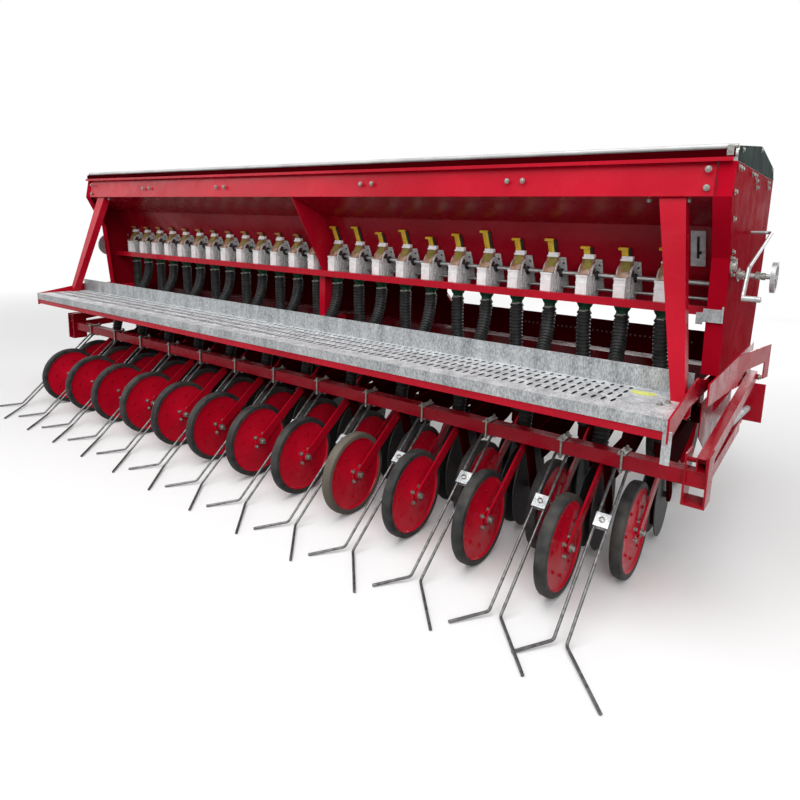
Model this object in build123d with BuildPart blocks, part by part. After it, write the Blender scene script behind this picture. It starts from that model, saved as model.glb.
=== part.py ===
from build123d import *
import os
from math import atan2, cos, degrees, hypot, radians, sin, tan

os.makedirs("parts", exist_ok=True)

# Mounted seed drill, millimetres.
# X is the working width, +Y is forward, Z is up, the floor is at zero.
# The origin is on the floor under the middle of the machine.

# Rows
row_count = 25
row_pitch = 150.0
end_room = 181.0
rank_gap = 255.0
rear_rank_y = -620.0
front_rank_y = rear_rank_y + rank_gap
half_width = (row_count - 1) / 2 * row_pitch + end_room

# Sheet and plate
hopper_sheet = 3.0
end_plate_thickness = 5.0
side_plate_thickness = 6.0
arm_plate = 8.0
overrun = 5.0
seat_gap = 0.3
pin_clearance = 0.05

# Hopper section
hopper_top_z = 1412.0
hopper_rear_y = -265.0
hopper_front_y = 650.0
band_bottom_y = -287.0
band_bottom_z = 1304.0
fold_y = -60.0
fold_z = 1212.0
trough_rear_y = 60.0
trough_front_y = 130.0
trough_z = 950.0
front_slope_top_z = 1290.0

# End plates
plate_waist_y = -190.0
plate_waist_z = 1110.0
plate_low_y = -150.0
plate_low_z = 708.0
plate_bottom_z = 585.0
plate_bottom_front_y = 580.0
plate_belly_y = 655.0
plate_belly_z = 1080.0
plate_flange = 50.0

# Lid
lid_sheet = 2.5
lid_eave_height = 33.0
lid_ridge_height = 93.0
lid_ridge_y = 200.0
lid_front_eave_y = 565.0
lid_roll_radius = 10.0

# Frame beams
rear_beam_y = 150.0
front_beam_y = 500.0
beam_z = 640.0
rear_beam_size = 90.0
front_beam_size = 100.0
beam_wall = 6.0
opener_beam_y = 350.0
opener_beam_z = 430.0
opener_beam_size = 70.0
hanger_share = 0.45

# Headstock
hitch_spread = 870.0
hitch_bore_radius = 14.25
hitch_pin_y = 1000.0
hitch_pin_z = 560.0
hitch_plate = 12.0
hitch_gap = 60.0
hitch_eye_radius = 53.36
top_link_y = 870.0
top_link_z = 1130.0
top_link_radius = 12.75
top_link_gap = 52.0
top_eye_radius = 40.0
mast_plate = 20.0
mast_bar_width = 80.0
mast_foot_x = 480.0
mast_top_z = 1180.0

# Side plates and walkway
walkway_rear_y = -660.0
walkway_front_y = -355.0
walkway_z = 674.0
walkway_sheet = 3.0
walkway_lip = 38.0
walkway_upstand = 76.0
walkway_end_room = 36.0
angle_leg = 50.0
angle_drop = 65.0
angle_thickness = 5.0
side_top_z = 714.0
side_low_z = 604.0
side_rear_y = -320.0
side_rear_low_z = 640.0
side_front_y = 670.0
side_knee_y = 100.0
side_leg_y = 560.0
side_leg_z = 560.0
side_foot_z = 360.0
side_foot_width = 110.0
wing_start_y = 250.0
wing_flare = 63.0
wing_plate = 5.0
wing_low_z = 640.0
wing_tip_y = 605.0
wing_tip_low_z = 565.0
fin_y = 610.0
fin_plate = 6.0
fin_width = 72.0
fin_low_z = 365.0
fin_top_z = 540.0
tread_bracket_plate = 6.0
tread_bracket_low_z = 601.0
tread_bracket_top_z = 728.0
tread_bracket_crest_y = -310.0
tread_bracket_neck_y = -420.0
tread_bracket_neck_z = 652.0
tread_bracket_step_y = -200.0
tread_bracket_step_z = 700.0

# Posts between hopper and walkway
post_top_x = 1805.0
post_foot_x = 1923.0
post_top_y = -255.0
post_foot_y = -430.0
post_top_width = 83.0
post_foot_width = 42.0
post_depth = 45.0
post_wall = 4.0
gusset_x = 36.0
gusset_plate = 6.0
gusset_rear_y = -66.0
mid_post_width = 40.0
mid_post_depth = 56.0
mid_post_low_z = 600.0
mid_post_arm_z = 680.0

# Seed meters
meter_offset = -50.0
meter_rear_y = -63.0
meter_block_top_z = 987.0
meter_outlet_z = 905.0
meter_width = 55.0
meter_bush_radius = 14.0
meter_bush = 10.0
meter_shoulder_y = -40.0
meter_shoulder_z = 1012.0
meter_crown_y = -12.0
meter_crown_z = 1076.0
outlet_front_y = 36.0
feed_shaft_y = -3.0
feed_shaft_z = 1048.0
feed_shaft_radius = 9.0
cam_shaft_y = 16.0
cam_shaft_z = 1000.0
cam_shaft_radius = 6.0
gate_width = 14.0
gate_thickness = 3.0
gate_tab_width = 26.0
gate_tab_height = 8.0
gate_lean_gap = 8.0
channel_height = 30.0
channel_depth = 30.0
channel_wall = 3.0
channel_gap = 3.0
cup_radius = 28.0
cup_foot_radius = 21.0
cup_height = 40.0
cup_y = -14.0
hose_radius = 21.0
hose_bend_share = 0.45

# Press wheels
wheel_radius = 171.0
tyre_width = 41.0
tyre_depth = 23.0
tyre_shoulder = 5.0
rim_wall = 3.0
hub_radius = 26.0
hub_half = 22.0
axle_radius = 10.0
axle_cap_radius = 15.0
axle_cap = 4.0
wheel_side_gap = 1.0
dish_shares = (0.45, 0.62)
dish_depth = 8.0

# Openers
disc_radius = 165.0
disc_thickness = 4.0
disc_lead = 360.0
disc_axle_z = 180.0
disc_spread = 12.0
disc_toe = 3.5
disc_pin_radius = 12.0
opener_plate = 10.0
opener_bar = 50.0
arm_pin_back = 75.0
arm_pin_z = 385.0
press_bar = 40.0
boot_radius = 25.0
boot_top_z = 400.0
boot_socket = 50.0
boot_neck = 12.0
boot_neck_depth = 46.0
boot_foot_z = 70.0
boot_back = 40.0
spring_radius = 17.0
spring_rod_radius = 7.0
spring_cap = 5.0

# Harrow
harrow_y = -399.0
harrow_z = 428.0
harrow_tube = 50.0
harrow_wall = 4.0
harrow_arm_gap = 5.0
harrow_arm_width = 32.0
harrow_arm_height = 50.0
harrow_arm_wall = 4.0
harrow_arm_rear_y = -435.0
harrow_arm_rear_z = 480.0
harrow_boss = 8.0
bracket_rear_y = -440.0
bracket_front_y = -350.0
bracket_top_z = 512.0
bracket_low_z = 345.0
bracket_plate = 6.0
bracket_room = 26.0
bracket_bolt_radius = 8.0
lower_arm_width = 20.0
lower_arm_height = 45.0
lower_arm_rear_z = 425.0
lower_arm_front_y = 209.0
lower_arm_front_z = 450.0
strut_radius = 12.0
strut_rear_y = 25.0
strut_rear_z = 495.0
strut_front_y = 560.0
strut_front_z = 440.0
harrow_pivot_y = 557.0
harrow_pivot_z = 581.0
harrow_pin_radius = 12.0
tine_count = 13
tine_pitch = 300.0
first_tine_x = -1747.0
last_tine_x = 1765.0
tine_radius = 5.0
tine_spread = 20.0
tine_knee_y = -874.0
tine_knee_z = 14.0
tine_tip_left_x = -97.0
tine_tip_left_y = -985.0
tine_tip_right_x = 180.0
tine_tip_right_y = -1050.0
clamp_size = 48.0
clamp_plate = 6.0
clamp_share = 0.33
saddle_plate = 5.0
saddle_width = 24.0

# Land wheels
land_wheel_x = 1700.0
land_wheel_y = 680.0
land_wheel_radius = 300.0
land_tyre_width = 120.0
land_tyre_depth = 80.0
land_rim_wall = 5.0
land_hub_radius = 45.0
land_axle_radius = 18.0
land_arm_plate = 15.0
land_arm_bar = 90.0

# Adjusters
hand_wheel_radius = 54.0
hand_wheel_rim = 7.0
hand_wheel_hub_radius = 16.0
hand_wheel_reach = 119.0
hand_wheel_spokes = 4
crank_reach = 69.0
crank_radius = 6.0
crank_top_y = 190.0
crank_top_z = 1196.0
crank_mid_y = -285.0
crank_mid_z = 1090.0
crank_low_y = -345.0
crank_low_z = 1000.0
crank_grip = 50.0
hand_wheel_x = half_width + hand_wheel_reach
harrow_arm_x = half_width + side_plate_thickness + harrow_arm_gap
crank_x = half_width + crank_reach


def export(node, label):
    node.part.label = label
    export_step(node.part, f"parts/{label}.step")


def row_x(row):
    return (row - (row_count - 1) / 2) * row_pitch


def rank_y(row):
    return rear_rank_y if row % 2 else front_rank_y


def link_face(start, end, width):
    """A bar with round ends in the plane of the sketch, from one point to another."""
    run = (end[0] - start[0], end[1] - start[1])
    middle = ((start[0] + end[0]) / 2, (start[1] + end[1]) / 2)
    with Locations(middle):
        SlotCenterToCenter(hypot(*run), width, rotation=degrees(atan2(run[1], run[0])))


def folded_sheet(points, thickness, side):
    """A folded sheet's section, laid to one side of the line that its face follows."""
    with BuildLine(Plane.XY) as section:
        face_line = Polyline(*points)
        offset(face_line, amount=thickness, side=side)
    make_face(section.edges())


def square_tube(centre, size, wall, half_length):
    """A square tube along X, added to the part being built."""
    with BuildSketch(Plane.YZ.offset(-half_length)) as section:
        with Locations(centre):
            Rectangle(size, size)
            Rectangle(size - 2 * wall, size - 2 * wall, mode=Mode.SUBTRACT)
    extrude(section.sketch, amount=2 * half_length)


plate_inner_x = half_width - end_plate_thickness
hopper_line = [
    (hopper_rear_y, hopper_top_z),
    (band_bottom_y, band_bottom_z),
    (fold_y, fold_z),
    (trough_rear_y, trough_z),
    (trough_front_y, trough_z),
    (hopper_front_y, front_slope_top_z),
    (hopper_front_y, hopper_top_z),
]

# Hopper: one folded sheet with an open top, inside the line of its outer face
with BuildPart() as hopper_shell:
    with BuildSketch(Plane.YZ.offset(-plate_inner_x)):
        folded_sheet(hopper_line, hopper_sheet, Side.LEFT)
    extrude(amount=2 * plate_inner_x)

# Rear band: the flat strip outside the hopper's upper rear wall
with BuildPart() as rear_band:
    with BuildSketch(Plane.YZ.offset(-plate_inner_x + plate_flange)):
        folded_sheet(hopper_line[:2], hopper_sheet, Side.RIGHT)
    extrude(amount=2 * (plate_inner_x - plate_flange))

# End plates with the holes for the feed shaft
plate_outline = [
    (hopper_rear_y - hopper_sheet, hopper_top_z),
    (band_bottom_y - hopper_sheet, band_bottom_z),
    (plate_waist_y, plate_waist_z),
    (plate_low_y, plate_low_z),
    (plate_low_y, plate_bottom_z),
    (plate_bottom_front_y, plate_bottom_z),
    (plate_belly_y, plate_belly_z),
    (hopper_front_y + hopper_sheet, hopper_top_z),
]
with BuildPart() as end_plates:
    for inner_x in (-half_width, plate_inner_x):
        with BuildSketch(Plane.YZ.offset(inner_x)):
            with BuildLine():
                Polyline(*plate_outline, close=True)
            make_face()
            with Locations((feed_shaft_y, feed_shaft_z)):
                Circle(feed_shaft_radius + pin_clearance, mode=Mode.SUBTRACT)
        extrude(amount=end_plate_thickness)
    for side in (-1, 1):
        flange_start = min(side * plate_inner_x, side * (plate_inner_x - plate_flange))
        with BuildSketch(Plane.YZ.offset(flange_start)):
            folded_sheet(plate_outline[:4], hopper_sheet, Side.LEFT)
            with BuildLine():
                Polyline(*hopper_line[:3], (fold_y, hopper_top_z), close=True)
            make_face(mode=Mode.SUBTRACT)
        extrude(amount=plate_flange)

# Lid: a low roof with closed gables, open below
lid_base_z = hopper_top_z + seat_gap
lid_outline = [
    (hopper_rear_y, lid_base_z),
    (hopper_rear_y, lid_base_z + lid_eave_height),
    (lid_ridge_y, lid_base_z + lid_ridge_height),
    (lid_front_eave_y, lid_base_z + lid_eave_height),
    (hopper_front_y, lid_base_z),
]
with BuildPart() as lid:
    with BuildSketch(Plane.YZ.offset(-half_width)):
        with BuildLine():
            Polyline(*lid_outline, close=True)
        make_face()
    extrude(amount=2 * half_width)
    inner_half = half_width - lid_sheet
    with BuildSketch(Plane.YZ.offset(-inner_half)):
        with BuildLine():
            Polyline(*lid_outline, close=True)
        make_face()
        offset(amount=-lid_sheet, mode=Mode.REPLACE)
        with Locations((lid_ridge_y, lid_base_z)):
            Rectangle(hopper_front_y - hopper_rear_y - lid_ridge_height, 2 * lid_sheet)
    extrude(amount=2 * inner_half, mode=Mode.SUBTRACT)
    with BuildSketch(Plane.YZ.offset(-half_width)):
        with Locations((hopper_rear_y, lid_base_z + lid_eave_height - lid_roll_radius)):
            Circle(lid_roll_radius)
    extrude(amount=2 * half_width)

# Main beams between the end plates
with BuildPart() as main_beams:
    square_tube((rear_beam_y, beam_z), rear_beam_size, beam_wall, plate_inner_x)
    square_tube((front_beam_y, beam_z), front_beam_size, beam_wall, plate_inner_x)

# Opener beam and the plates that it hangs on from the front beam
hanger_top_z = beam_z - front_beam_size / 2
hanger_x = hanger_share * plate_inner_x
opener_beam_half = row_x(row_count - 1) + opener_beam_size
with BuildPart() as opener_beam:
    square_tube((opener_beam_y, opener_beam_z), opener_beam_size, beam_wall, opener_beam_half)
with BuildPart() as opener_hangers:
    for hanger in (-2, -1, 0, 1, 2):
        with BuildSketch(Plane.YZ.offset(hanger * hanger_x - arm_plate)):
            with BuildLine():
                Polyline(
                    (opener_beam_y - opener_beam_size / 2, opener_beam_z + opener_beam_size / 2),
                    (opener_beam_y + opener_beam_size / 2, opener_beam_z + opener_beam_size / 2),
                    (front_beam_y + front_beam_size / 2, hanger_top_z),
                    (front_beam_y - front_beam_size / 2, hanger_top_z),
                    close=True,
                )
            make_face()
        extrude(amount=2 * arm_plate)

# Headstock: an A of flat bar on the front beam
mast_y = front_beam_y + front_beam_size / 2
mast_front_y = mast_y + mast_plate
beam_low_z = beam_z - front_beam_size / 2
ear_inner_x = top_link_gap / 2
with BuildPart() as headstock:
    with BuildSketch(Plane.XZ.offset(-mast_front_y)):
        with BuildLine():
            Polyline(
                (-mast_foot_x, beam_low_z),
                (-mast_foot_x, beam_z + front_beam_size),
                (-mast_bar_width, mast_top_z),
                (mast_bar_width, mast_top_z),
                (mast_foot_x, beam_z + front_beam_size),
                (mast_foot_x, beam_low_z),
                close=True,
            )
        make_face()
        with BuildLine():
            Polyline(
                (-mast_foot_x + mast_bar_width, beam_z + front_beam_size / 2),
                (-mast_bar_width / 4, mast_top_z - mast_bar_width * 2),
                (mast_bar_width / 4, mast_top_z - mast_bar_width * 2),
                (mast_foot_x - mast_bar_width, beam_z + front_beam_size / 2),
                close=True,
            )
        make_face(mode=Mode.SUBTRACT)
    extrude(amount=mast_plate)

# Ears on the headstock: a clevis for each lower link and one for the top link
with BuildPart() as hitch_ears:
    for side in (-1, 1):
        for ear in (-1, 1):
            centre_x = side * hitch_spread / 2 + ear * (hitch_gap + hitch_plate) / 2
            with BuildSketch(Plane.YZ.offset(centre_x - hitch_plate / 2)):
                with BuildLine():
                    Polyline(
                        (mast_front_y, beam_low_z),
                        (hitch_pin_y, hitch_pin_z - hitch_eye_radius),
                        (hitch_pin_y, hitch_pin_z + hitch_eye_radius),
                        (mast_front_y, beam_z + front_beam_size),
                        close=True,
                    )
                make_face()
                with Locations((hitch_pin_y, hitch_pin_z)):
                    Circle(hitch_eye_radius)
                    Circle(hitch_bore_radius, mode=Mode.SUBTRACT)
            extrude(amount=hitch_plate)
        ear_start = min(side * ear_inner_x, side * (ear_inner_x + hitch_plate))
        with BuildSketch(Plane.YZ.offset(ear_start)):
            with BuildLine():
                Polyline(
                    (mast_front_y, mast_top_z - mast_bar_width * 2),
                    (top_link_y, top_link_z - top_eye_radius),
                    (top_link_y, top_link_z + top_eye_radius),
                    (mast_front_y, mast_top_z),
                    close=True,
                )
            make_face()
            with Locations((top_link_y, top_link_z)):
                Circle(top_eye_radius)
                Circle(top_link_radius, mode=Mode.SUBTRACT)
        extrude(amount=hitch_plate)

# Side plates on the outside of the end plates, each with a leg that holds the harrow's
# pivot, a fin across the leg and a wing that flares out over the harrow's arm
walkway_half = half_width - walkway_end_room
side_outer_x = half_width + side_plate_thickness
rear_beam_back_y = rear_beam_y - rear_beam_size / 2
with BuildPart() as one_wing:
    with BuildSketch(Plane.XY.offset(wing_tip_low_z)):
        folded_sheet(
            [
                (half_width, wing_start_y),
                (side_outer_x + wing_flare, side_front_y),
            ],
            wing_plate,
            Side.RIGHT,
        )
    extrude(amount=side_top_z - wing_tip_low_z)
    with BuildSketch(Plane.YZ.offset(half_width)):
        with BuildLine():
            Polyline(
                (wing_start_y - overrun, wing_low_z),
                (wing_start_y - overrun, side_top_z),
                (side_front_y, side_top_z),
                (side_front_y, wing_tip_low_z),
                (wing_tip_y, wing_tip_low_z),
                (wing_tip_y, wing_low_z),
                close=True,
            )
        make_face()
    extrude(amount=2 * wing_flare, mode=Mode.INTERSECT)
with BuildPart() as side_plates:
    with BuildSketch(Plane.YZ.offset(half_width)):
        with BuildLine():
            Polyline(
                (side_rear_y, side_rear_low_z),
                (side_rear_y, side_top_z),
                (side_front_y, side_top_z),
                (side_front_y, side_foot_z),
                (side_front_y - side_foot_width, side_foot_z),
                (side_leg_y - side_foot_width, side_leg_z),
                (side_knee_y, side_low_z),
                close=True,
            )
        make_face()
        with Locations((harrow_pivot_y, harrow_pivot_z)):
            Circle(harrow_pin_radius + pin_clearance, mode=Mode.SUBTRACT)
    extrude(amount=side_plate_thickness)
    with BuildSketch(Plane.XZ.offset(-fin_y)):
        with Locations((side_outer_x + fin_width / 2, (fin_low_z + fin_top_z) / 2)):
            Rectangle(fin_width, fin_top_z - fin_low_z)
    extrude(amount=-fin_plate)
    add(one_wing.part)
    mirror(about=Plane.YZ)

# Tread brackets: plates at the walkway's ends, from the rear beam back to its edge
with BuildPart() as tread_brackets:
    with BuildSketch(Plane.YZ.offset(walkway_half)):
        with BuildLine():
            Polyline(
                (walkway_rear_y, tread_bracket_low_z),
                (walkway_rear_y, walkway_z),
                (tread_bracket_crest_y, tread_bracket_top_z),
                (tread_bracket_step_y, tread_bracket_step_z),
                (rear_beam_back_y, tread_bracket_step_z),
                (rear_beam_back_y, tread_bracket_neck_z),
                (tread_bracket_neck_y, tread_bracket_neck_z),
                close=True,
            )
        make_face()
    extrude(amount=tread_bracket_plate)
    mirror(about=Plane.YZ)

# Walkway: a folded tray with a rear lip and a front upstand
with BuildPart() as walkway:
    with BuildSketch(Plane.YZ.offset(-walkway_half)):
        folded_sheet(
            [
                (walkway_rear_y, walkway_z - walkway_lip),
                (walkway_rear_y, walkway_z),
                (walkway_front_y, walkway_z),
                (walkway_front_y, walkway_z + walkway_upstand),
            ],
            walkway_sheet,
            Side.RIGHT,
        )
    extrude(amount=2 * walkway_half)

# Angles under both edges of the walkway, between the tread brackets
tray_inner_y = walkway_rear_y + walkway_sheet
with BuildPart() as walkway_angles:
    for corner_y, leg in ((tray_inner_y, angle_leg), (walkway_front_y, -angle_leg)):
        with BuildSketch(Plane.YZ.offset(-walkway_half)):
            folded_sheet(
                [
                    (corner_y, walkway_z - walkway_sheet),
                    (corner_y, walkway_z - angle_drop),
                    (corner_y + leg, walkway_z - angle_drop),
                ],
                angle_thickness,
                Side.LEFT if leg > 0 else Side.RIGHT,
            )
        extrude(amount=2 * walkway_half)


def post_section(centre, width, depth):
    """A channel section open to the front."""
    with Locations(centre):
        Rectangle(width, depth)
    with Locations((centre[0], centre[1] + post_wall)):
        Rectangle(width - 2 * post_wall, depth, mode=Mode.SUBTRACT)


# End posts: tapered channels from the walkway up to the hopper's underside
with BuildPart() as rear_posts:
    for side in (-1, 1):
        with BuildSketch(Plane.XY.offset(walkway_z)):
            post_section((side * post_foot_x, post_foot_y), post_foot_width, post_depth)
        with BuildSketch(Plane.XY.offset(band_bottom_z)):
            post_section((side * post_top_x, post_top_y), post_top_width, post_depth)
        loft(ruled=True)
    with BuildSketch(Plane.YZ.offset(-half_width)):
        with BuildLine():
            Polyline(*hopper_line, close=True)
        make_face()
    extrude(amount=2 * half_width, mode=Mode.SUBTRACT)

# Middle gusset: a plate under the band, on the post that the rear beam carries
channel_top_z = meter_outlet_z + channel_height
with BuildPart() as mid_gusset:
    with BuildSketch(Plane.YZ.offset(gusset_x - gusset_plate / 2)):
        with BuildLine():
            Polyline(
                (band_bottom_y, band_bottom_z),
                (fold_y, fold_z),
                (trough_rear_y, trough_z),
                (trough_rear_y, channel_top_z),
                (gusset_rear_y, channel_top_z),
                close=True,
            )
        make_face()
        with Locations((feed_shaft_y, feed_shaft_z)):
            Circle(feed_shaft_radius + pin_clearance, mode=Mode.SUBTRACT)
        with Locations((cam_shaft_y, cam_shaft_z)):
            Circle(cam_shaft_radius + pin_clearance, mode=Mode.SUBTRACT)
    extrude(amount=gusset_plate)
    with BuildSketch(Plane.YZ.offset(gusset_x - mid_post_width / 2)):
        with BuildLine():
            Polyline(
                (gusset_rear_y, channel_top_z),
                (gusset_rear_y, mid_post_low_z),
                (rear_beam_back_y, mid_post_low_z),
                (rear_beam_back_y, mid_post_arm_z),
                (gusset_rear_y + mid_post_depth, mid_post_arm_z),
                (gusset_rear_y + mid_post_depth, channel_top_z),
                close=True,
            )
        make_face()
    extrude(amount=mid_post_width)

# Meter channel: a thin open channel that the meters stand behind
channel_front_y = meter_rear_y - channel_gap
channel_z = meter_outlet_z + channel_height / 2
with BuildPart() as meter_channel:
    with BuildSketch(Plane.YZ.offset(-plate_inner_x)):
        with Locations((channel_front_y - channel_depth / 2, channel_z)):
            Rectangle(channel_depth, channel_height)
        with Locations((channel_front_y - channel_depth / 2 + channel_wall, channel_z)):
            Rectangle(channel_depth, channel_height - 2 * channel_wall, mode=Mode.SUBTRACT)
    extrude(amount=2 * plate_inner_x)


def trough_face_y(z):
    """The outer face of the hopper's rear slope at one height."""
    share = (z - trough_z) / (fold_z - trough_z)
    return trough_rear_y + share * (fold_y - trough_rear_y)


# Seed meters: a block with a sloped crown between two cheeks, bored for both shafts
meter_outline = [
    (meter_rear_y, meter_outlet_z),
    (meter_rear_y, meter_block_top_z),
    (meter_shoulder_y, meter_shoulder_z),
    (meter_crown_y, meter_crown_z),
    (trough_face_y(meter_crown_z), meter_crown_z),
    (trough_rear_y, trough_z),
    (outlet_front_y, meter_outlet_z),
]
with BuildPart() as one_meter:
    with BuildSketch(Plane.YZ.offset(-meter_width / 2)):
        with BuildLine():
            Polyline(*meter_outline, close=True)
        make_face()
        with Locations((feed_shaft_y, feed_shaft_z)):
            Circle(feed_shaft_radius + pin_clearance, mode=Mode.SUBTRACT)
        with Locations((cam_shaft_y, cam_shaft_z)):
            Circle(cam_shaft_radius + pin_clearance, mode=Mode.SUBTRACT)
    extrude(amount=meter_width)
    for start_x in (-meter_width / 2 - meter_bush, meter_width / 2):
        with BuildSketch(Plane.YZ.offset(start_x)):
            with Locations((feed_shaft_y, feed_shaft_z)):
                Circle(meter_bush_radius)
                Circle(feed_shaft_radius + pin_clearance, mode=Mode.SUBTRACT)
        extrude(amount=meter_bush)
meter_places = [(row_x(row) + meter_offset, 0, 0) for row in range(row_count)]
with BuildPart() as seed_meters:
    with Locations(*meter_places):
        add(one_meter.part)

# Feed shaft from hand wheel to hand wheel, and the shorter cam shaft
with BuildPart() as meter_shafts:
    with BuildSketch(Plane.YZ.offset(-hand_wheel_x)):
        with Locations((feed_shaft_y, feed_shaft_z)):
            Circle(feed_shaft_radius)
    extrude(amount=2 * hand_wheel_x)
    with BuildSketch(Plane.YZ.offset(-plate_inner_x)):
        with Locations((cam_shaft_y, cam_shaft_z)):
            Circle(cam_shaft_radius)
    extrude(amount=2 * plate_inner_x)

# Slide gates: a graduated strip with a tab, pulled out by a different share at each meter
gate_lengths_share = (
    0.10, 0.10, 0.10, 0.10, 0.10, 0.10, 0.10, 0.10, 0.10, 0.10, 0.10, 0.10, 0.10,
    0.95, 0.90, 0.85, 0.85, 0.75, 0.80, 0.80, 0.60, 0.65, 0.70, 0.45, 0.45,
)
gate_reach = 130.0
gate_lean = degrees(atan2(trough_rear_y - fold_y, fold_z - trough_z))
gate_foot_y = trough_face_y(meter_crown_z) - gate_lean_gap
with BuildPart() as meter_gates:
    for row in range(row_count):
        length = gate_width + gate_lengths_share[row] * gate_reach
        x = row_x(row) + meter_offset
        gate_plane = Plane(
            origin=(x, gate_foot_y, meter_crown_z),
            x_dir=(1, 0, 0),
            z_dir=(0, -cos(radians(gate_lean)), -sin(radians(gate_lean))),
        )
        with BuildSketch(gate_plane):
            with Locations((0, length / 2)):
                Rectangle(gate_width, length + 2 * gate_thickness)
            with Locations((0, length)):
                Rectangle(gate_tab_width, gate_tab_height)
    extrude(amount=gate_thickness)
    split(bisect_by=Plane.XY.offset(meter_crown_z), keep=Keep.TOP)

# Seed cups under the meters
with BuildPart() as one_cup:
    with BuildSketch(Plane.XY.offset(meter_outlet_z - cup_height)):
        with Locations((0, cup_y)):
            Circle(cup_foot_radius)
    with BuildSketch(Plane.XY.offset(meter_outlet_z)):
        with Locations((0, cup_y)):
            Circle(cup_radius)
    loft()
with BuildPart() as seed_cups:
    with Locations(*meter_places):
        add(one_cup.part)


# Each point's share of the way across, back and down
hose_shares = (
    (0.0, 0.0, 0.0),
    (0.0, 0.0, 0.20),
    (0.26, 0.26, 0.42),
    (0.74, 0.74, 0.62),
    (1.0, 1.0, 0.82),
    (1.0, 1.0, 1.0),
)


def hose_run(row):
    """The hose's points from its cup down to the opener's boot."""
    boot_y = rank_y(row) + disc_lead - boot_back
    top = meter_outlet_z - cup_height
    drop = top - boot_top_z
    start_x = row_x(row) + meter_offset
    reach_y = boot_y - cup_y
    shift_x = row_x(row) - start_x
    return [
        (start_x + across * shift_x, cup_y + back * reach_y, top - down * drop)
        for across, back, down in hose_shares
    ]


def hose_radii(points):
    """Each bend as large as its two runs allow."""
    radii = []
    for before, here, after in zip(points, points[1:], points[2:]):
        run_in = Vector(here) - Vector(before)
        run_out = Vector(after) - Vector(here)
        turn = run_in.get_angle(run_out)
        radii.append(hose_bend_share * min(run_in.length, run_out.length) / tan(radians(turn / 2)))
    return radii


def hose_set(rows):
    """Round hoses for the rows given, in the builder's part."""
    hoses = []
    tightest = []
    for row in rows:
        points = hose_run(row)
        radii = hose_radii(points)
        tightest.append(min(radii))
        with BuildLine() as route:
            FilletPolyline(*points, radius=radii)
        start = Plane(origin=points[0], z_dir=(0, 0, -1))
        with BuildSketch(start) as section:
            Circle(hose_radius)
        hoses.append(sweep(sections=section.sketch, path=route.wire(), mode=Mode.PRIVATE))
    add(hoses)
    print("tightest hose bend", round(min(tightest), 1))


rear_rows = [row for row in range(row_count) if row % 2]
front_rows = [row for row in range(row_count) if not row % 2]
with BuildPart() as hoses:
    hose_set(range(row_count))

# Opener arms: a plate from the opener beam to the disc axle, with the seed boot on its flank
arm_face_x = hub_half + wheel_side_gap + arm_plate + axle_cap
opener_beam_rear_y = opener_beam_y - opener_beam_size / 2


def unit_places(rows, lead):
    """Where each row's copy of a unit stands, with the unit drawn at the middle row."""
    return [(row_x(row), rank_y(row) + lead, 0) for row in rows]


arm_units = []
spring_units = []
spring_top_z = beam_z - rear_beam_size / 2
for rank_line_y, rows in ((rear_rank_y, rear_rows), (front_rank_y, front_rows)):
    disc_y = rank_line_y + disc_lead
    pin_y = disc_y - arm_pin_back
    boot_y = disc_y - boot_back
    bar_end_y = opener_beam_rear_y - opener_bar
    with BuildPart() as one_arm:
        with BuildSketch(Plane.YZ.offset(arm_face_x)):
            link_face((disc_y, disc_axle_z), (pin_y, arm_pin_z), opener_bar)
            link_face((pin_y, arm_pin_z), (bar_end_y, opener_beam_z), opener_bar)
            with Locations((opener_beam_rear_y - opener_bar / 2, opener_beam_z)):
                Rectangle(opener_bar, opener_bar)
        extrude(amount=opener_plate)
        with BuildSketch(Plane.XY.offset(boot_top_z - boot_socket)):
            with Locations((0, boot_y)):
                Circle(boot_radius)
            with Locations((arm_face_x / 2, boot_y)):
                Rectangle(arm_face_x, boot_neck)
        extrude(amount=boot_socket)
        with BuildSketch(Plane.XY.offset(boot_foot_z)):
            with Locations((0, boot_y)):
                Rectangle(boot_neck, boot_neck_depth)
        extrude(amount=boot_top_z - boot_socket - boot_foot_z)
    lean = atan2(opener_beam_z - arm_pin_z, bar_end_y - pin_y)
    bar_z = arm_pin_z + (rear_beam_y - pin_y) * tan(lean)
    bar_top_z = bar_z + opener_bar / 2 / cos(lean) + spring_rod_radius * tan(lean) + seat_gap
    with BuildPart() as one_spring:
        with BuildSketch(Plane.XY.offset(bar_top_z)):
            with Locations((arm_face_x + opener_plate / 2, rear_beam_y)):
                Circle(spring_rod_radius)
        extrude(amount=spring_top_z - bar_top_z)
        with BuildSketch(Plane.XY.offset(bar_top_z + 2 * spring_cap)):
            with Locations((arm_face_x + opener_plate / 2, rear_beam_y)):
                Circle(spring_radius)
        extrude(amount=spring_top_z - bar_top_z - 3 * spring_cap)
    for row in rows:
        arm_units.append(one_arm.part.moved(Location((row_x(row), 0, 0))))
        spring_units.append(one_spring.part.moved(Location((row_x(row), 0, 0))))

with BuildPart() as opener_arms:
    add(arm_units)

# Pressure springs between the opener arms and the rear beam
with BuildPart() as pressure_springs:
    add(spring_units)

# Double discs: each pair toes in towards the front on its own axle
with BuildPart() as one_disc_pair:
    for side in (-1, 1):
        disc_plane = Plane(
            origin=(side * (boot_neck / 2 + disc_spread), 0, disc_axle_z),
            x_dir=(0, 1, 0),
            z_dir=(cos(radians(disc_toe)), side * sin(radians(disc_toe)), 0),
        )
        with BuildSketch(disc_plane):
            Circle(disc_radius)
        extrude(amount=disc_thickness / 2, both=True)
    with BuildSketch(Plane.YZ.offset(-arm_face_x)):
        with Locations((0, disc_axle_z)):
            Circle(disc_pin_radius)
    extrude(amount=2 * arm_face_x)
with BuildPart() as opener_discs:
    with Locations(*unit_places(range(row_count), disc_lead)):
        add(one_disc_pair.part)

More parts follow.
